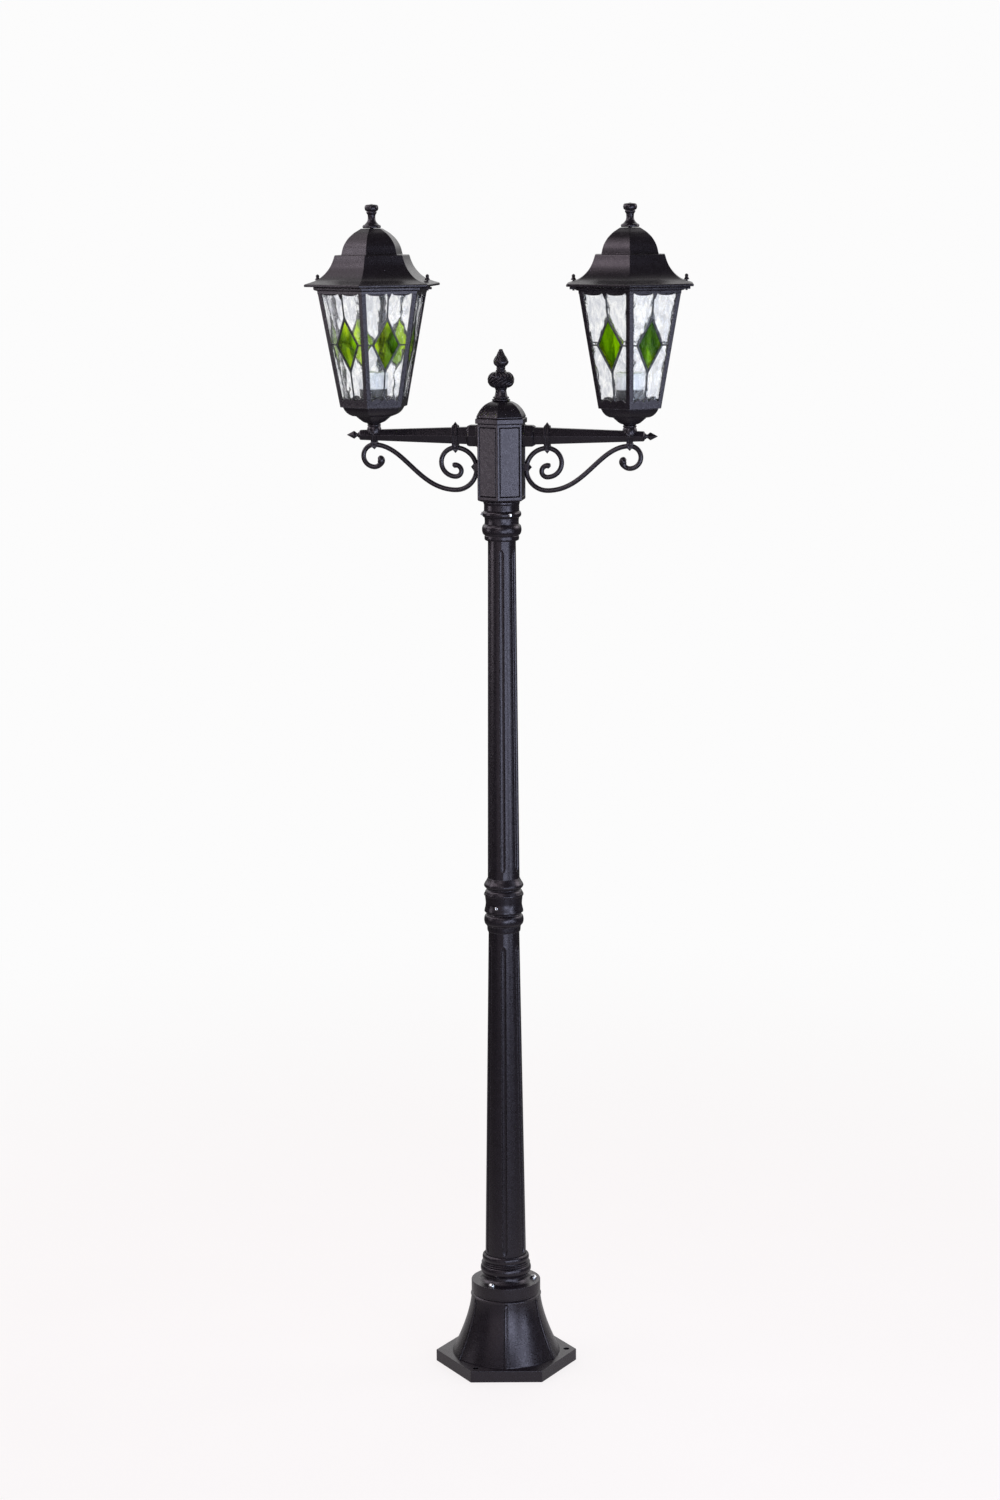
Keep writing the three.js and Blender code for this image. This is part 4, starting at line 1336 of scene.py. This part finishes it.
def sheet(grid, thickness, waves):
    """A closed sheet of glass over a grid of (x, y) points, wavy on both faces."""
    rows, columns = grid.shape[:2]
    x, y = grid[..., 0], grid[..., 1]
    front = thickness / 2 + waves[0](x, y)
    back = -thickness / 2 + waves[1](x, y)
    points = np.concatenate([np.stack([x, y, front], -1).reshape(-1, 3),
                             np.stack([x, y, back], -1).reshape(-1, 3)])
    half = rows * columns
    faces = []
    for i in range(rows - 1):
        for j in range(columns - 1):
            a = i * columns + j
            quad = (a, a + 1, a + columns + 1, a + columns)
            faces += [quad, tuple(half + k for k in quad[::-1])]
    index = np.arange(half).reshape(rows, columns)
    rim = np.concatenate([index[0], index[1:, -1], index[-1, -2::-1], index[-2:0:-1, 0]]).tolist()
    for a, b in zip(rim, rim[1:] + rim[:1]):
        faces.append((b, a, half + a, half + b))
    mesh = mesh_of(points, faces, math.radians(50))
    if mesh.polygons[0].normal.z < 0:
        mesh.flip_normals()
    return mesh


DIAMOND_HALF_WIDTH, DIAMOND_HALF_HEIGHT = 25.0, 48.3
DIAMOND_Z = CAGE_BASE + 114.7
PANE_LOW, PANE_HIGH = CAGE_BASE + 5.7, CAGE_BASE + 209.7
PANE_SET_BACK = CAGE_WALL * COS30 + (GAP + PANE_THICKNESS) / math.cos(FACE_TILT)


def pane_half(z):
    return (cage_radius(z) * COS30 - PANE_SET_BACK) / math.sqrt(3) - GAP


def along(path, shares):
    """Points at given shares of a polyline's length."""
    path = np.array(path, float)
    run = np.concatenate([[0], np.cumsum(np.linalg.norm(np.diff(path, axis=0), axis=1))])
    run /= run[-1]
    return np.stack([np.interp(shares, run, path[:, 0]), np.interp(shares, run, path[:, 1])], 1)


def clear_quarter(horizontal, vertical, waves):
    """One of the four clear pieces round the diamond."""
    middle = up_face(DIAMOND_Z)
    z_end = PANE_HIGH if vertical > 0 else PANE_LOW
    end = up_face(z_end)
    outer = [(horizontal * pane_half(DIAMOND_Z), middle), (horizontal * pane_half(z_end), end),
             (0, end)]
    inner = [(horizontal * DIAMOND_HALF_WIDTH, middle),
             (0, middle + vertical * DIAMOND_HALF_HEIGHT)]
    corner = np.linalg.norm(np.subtract(outer[1], outer[0]))
    corner /= corner + abs(pane_half(z_end))
    shares = np.unique(np.concatenate([np.linspace(0, corner, 40), np.linspace(corner, 1, 20)]))
    edge, seam = along(outer, shares), along(inner, shares)
    grid = np.stack([edge * (1 - t) + seam * t for t in np.linspace(0, 1, 18)])
    return sheet(grid, PANE_THICKNESS - 1.2, waves)


def diamond(waves):
    middle = up_face(DIAMOND_Z)
    right = np.array((DIAMOND_HALF_WIDTH, middle))
    left = np.array((-DIAMOND_HALF_WIDTH, middle))
    bottom = np.array((0, middle - DIAMOND_HALF_HEIGHT))
    shares = np.linspace(0, 1, 26)
    grid = np.array([[bottom + (right - bottom) * a + (left - bottom) * b for b in shares]
                     for a in shares])
    return sheet(grid, PANE_THICKNESS - 0.9, waves)


def came(start, end, width, face_z, height):
    """A strip of lead with an arched section, on one face of the glass."""
    start, end = np.array(start, float), np.array(end, float)
    ahead = (end - start) / np.linalg.norm(end - start)
    across = np.array([-ahead[1], ahead[0]])
    sign = 1 if face_z > 0 else -1
    section = [(-0.5, 0.0), (-0.46, 0.45), (-0.25, 0.86), (0, 1.0), (0.25, 0.86), (0.46, 0.45),
               (0.5, 0.0), (0.4, -0.5), (-0.4, -0.5)]
    rings = []
    for point in (start, end):
        rings.append([(*(point + across * s * width), face_z + sign * h * height)
                      for s, h in section])
    mesh = loft(rings, sharp=math.radians(50))
    if sign * mesh.polygons[3].normal.z < 0:
        mesh.flip_normals()
    return mesh


def solder(point, radius, face_z, height):
    sign = 1 if face_z > 0 else -1
    drop = turned([(radius, -0.4), (radius * 0.9, 0.25 * height), (radius * 0.55, 0.75 * height),
                   (0, height)], 16, sharp=math.radians(60))
    if sign < 0:
        drop = moved(drop, turn("X", 180))
    return moved(drop, shift(point[0], point[1], face_z))


def cames():
    """The lead of one pane: lines to the rails and bars, and a double-edged diamond."""
    middle = up_face(DIAMOND_Z)
    top, bottom = middle + DIAMOND_HALF_HEIGHT, middle - DIAMOND_HALF_HEIGHT
    side = pane_half(DIAMOND_Z)
    tips = [(0, top), (DIAMOND_HALF_WIDTH, middle), (0, bottom), (-DIAMOND_HALF_WIDTH, middle)]
    ends = [(0, up_face(PANE_HIGH)), (side, middle), (0, up_face(PANE_LOW)), (-side, middle)]
    parts = []
    for face in (PANE_THICKNESS / 2 - 0.6, -PANE_THICKNESS / 2 + 0.6):
        for tip, end in zip(tips, ends):
            parts.append(came(tip, end, 2.6, face, 0.95))
            parts.append(solder(tip, 2.7, face, 1.5))
        for a, b in zip(tips, tips[1:] + tips[:1]):
            parts.append(came(a, b, 4.0, face, 1.3))
    return joined(parts)


def holder_base():
    base, top = low("left_holder_base"), high("left_holder_base")
    seat = base + 28.3
    stem = [(0, 40), (3.2, 40), (3.2, 0), (5, 0, 0.4)]
    cup = [(5, 0), (21, 0, 0.8), (22, 1.4, 0.8), (22, 28), (23.2, 29.4, 0.6), (24.8, 30.6, 0.6),
           (25, 32, 0.5)]
    return turned(lift(stem, base) + lift(cup, seat) + [(25, top, 0.6), (0, top)], 64)


def lamp_holder():
    """A glazed holder with shallow flutes and a rounded rim round its socket."""
    base, top = low("left_lamp_holder"), high("left_lamp_holder")
    rim = [(26.2, -6, 1), (25.2, -4.4, 0.6), (25.6, -2, 1), (24.4, 0, 1.2), (16, 0, 1),
           (14.7, -2, 0.6)]
    profile = filleted(
        lift([(0, 0), (24.6, 0, 0.8), (26.2, 1.6, 0.8)], base) + lift(rim, top)
        + lift([(14.7, 4.7), (0, 4.7)], base))

    def wave(angles, z):
        if base + 3 < z < top - 7:
            return -0.5 * np.abs(np.sin(10 * angles))
        return 0

    dense = []
    for (r0, z0), (r1, z1) in zip(profile, profile[1:]):
        steps = 12 if abs(z1 - z0) > 8 and r0 > 20 else 1
        dense += [(r0 + (r1 - r0) * k / steps, z0 + (z1 - z0) * k / steps) for k in range(steps)]
    dense.append(profile[-1])
    return wavy_turned(dense, wave)


def screw_shell():
    """The threaded metal shell inside the holder."""
    base, top = low("left_lamp_holder") + 5, high("left_lamp_holder") - 2.4
    turns = 4.5
    thread = [(13.5 + 0.6 * math.cos(2 * math.pi * turns * t), top + (base - top) * t)
              for t in np.linspace(0, 1, 40)]
    return turned([(14.4, base), (14.4, top)] + thread, FINE, closed=True)


def roof():
    """The two-tiered roof: a dome over an S-curved skirt with a thin, worn rim."""
    outside = [
        (100, 0), (113, 0, 0.4), (115, 1.2, 0.6), (131, 1.4, 0.5), (131.6, 2.4, 0.5),
        (131.6, 5.2, 0.6), (130, 6.2, 1), (120, 9.0, 6), (106.5, 13.3, 6), (95, 20.9, 6),
        (87, 28.8, 5), (80.4, 37.6, 5), (75.6, 47.7, 5), (72.6, 56.6, 1), (71.9, 57.6, 0.6),
        (60.2, 58.0, 0.5), (59.4, 58.6, 0.5), (58.6, 62, 3), (56.6, 70, 5), (53.4, 77.2, 5),
        (46.4, 87.3, 5), (35.4, 96.8, 5),
    ]
    inside = [
        (20.8, -0.4, 1), (4.8, -0.2), (4.8, -3.4), (19, -4.2), (32.8, -12.5), (43.3, -21.2),
        (50.3, -31.5), (56, -50.5), (68.5, -51.5), (72, -62.5), (80, -75), (89, -85.5),
        (98, -96.5),
    ]
    profile = lift(outside, low("left_roof")) + lift(inside, high("left_roof"))
    return hex_turned(profile, 1.3, closed=True)


def roof_finial():
    """A knob on a waisted neck over a thick disc."""
    seat = high("left_roof") + GAP
    top = high("left_roof_finial")
    neck = [
        (0, -9), (3.2, -9), (3.2, 0), (16, 0, 0.4), (16.8, 1.6, 1), (16.8, 3.6, 1.2),
        (15.6, 5.6, 0.8), (13.6, 6.2, 0.4), (12.4, 7.2, 1.2), (9.4, 10.2, 2), (7.4, 13.8, 2.4),
        (6.8, 18, 3), (7.1, 23.6, 1.6), (8.2, 25.4, 0.8), (9.5, 27.2, 0.8), (9.3, 29.4, 0.6),
        (8.9, 30.2, 0.3),
    ]
    knob = bulge(9.6, 12.6, seat + 30.8, top - 1.4, 14)[:-2]
    knob += lift([(8.6, -1.3, 0.6), (3, -0.7, 0.6), (1.6, -0.1, 0.3), (0, 0)], top)
    return turned(lift(neck, seat) + knob, 64, sharp=math.radians(50))


def roof_nut():
    """A cap nut with a collar, on its stud."""
    profile = [
        (0, 0), (2, 0), (2, 19), (4.8, 19, 0.3), (4.6, 20.6, 0.6), (3.4, 22.6, 0.8),
        (2.7, 24.6, 0.6), (3.3, 25.6, 0.6), (3.1, 27.6, 0.8), (1.6, 29.4, 0.8), (0, 29.8),
    ]
    return turned(lift(profile, low("left_roof_nut_1")), 28)


def build_lanterns():
    for number, side in enumerate(SIDES):
        place = shift(centre_x(f"{side}_roof_finial"), 0, 0)
        if side == "right":
            place = place @ turn("Z", RIGHT_LANTERN_TURN)
        lantern, top = f"{side}_lantern", f"{side}_roof"
        piece(f"{side}_bowl_fine", bowl(), lantern, stands_for=f"{side}_bowl", matrix=place)
        piece(f"{side}_cage_fine", cage(), lantern, stands_for=f"{side}_cage", matrix=place)
        apothem = (CAGE_BASE_RADIUS * COS30 - PANE_SET_BACK
                   + PANE_THICKNESS / 2 / math.cos(FACE_TILT))
        for i in range(6):
            seed = 100 * number + 10 * i
            waves = [wave_field(seed + k) for k in range(4)]
            clear = joined([
                clear_quarter(h, v, [lambda x, y, w=w: w(x, y) * 0.26 for w in waves[:2]])
                for h, v in ((1, 1), (-1, 1), (-1, -1), (1, -1))
            ])
            glass = [lambda x, y, w=w: w(x, y) * 0.3 for w in waves[2:]]
            name = f"{side}_pane_{i + 1}"
            piece(f"{name}_clear", on_face(clear, apothem, i), lantern, "wavy_glass", name, place)
            piece(f"{name}_diamond", on_face(diamond(glass), apothem, i), lantern, "green_glass",
                  None, place)
            piece(f"{name}_cames", on_face(cames(), apothem, i), lantern, "lead_came", None, place)
        piece(f"{side}_holder_foot", holder_base(), lantern, "inner_plastic",
              f"{side}_holder_base", place)
        piece(f"{side}_holder_body", lamp_holder(), lantern, "porcelain", f"{side}_lamp_holder",
              place)
        piece(f"{side}_screw_shell", screw_shell(), lantern, "screw_chrome", None, place)
        piece(f"{side}_roof_shell", roof(), top, stands_for=f"{side}_roof", matrix=place)
        piece(f"{side}_roof_knob", roof_finial(), top, stands_for=f"{side}_roof_finial",
              matrix=place)
        for k, sign in ((1, -1), (2, 1)):
            node = f"{side}_roof_nut_{k}"
            piece(f"{node}_fine", roof_nut(), node, stands_for=node,
                  matrix=place @ shift(sign * NUT_PLACE, 0, 0))
        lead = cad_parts[f"{side}_lamp_lead"].data
        lead.materials.clear()
        lead.materials.append(MATERIALS["lead_sheath"])


# ---- The whole post ----
studio()
build_foot()
build_column()
build_head()
build_arms()
build_lanterns()
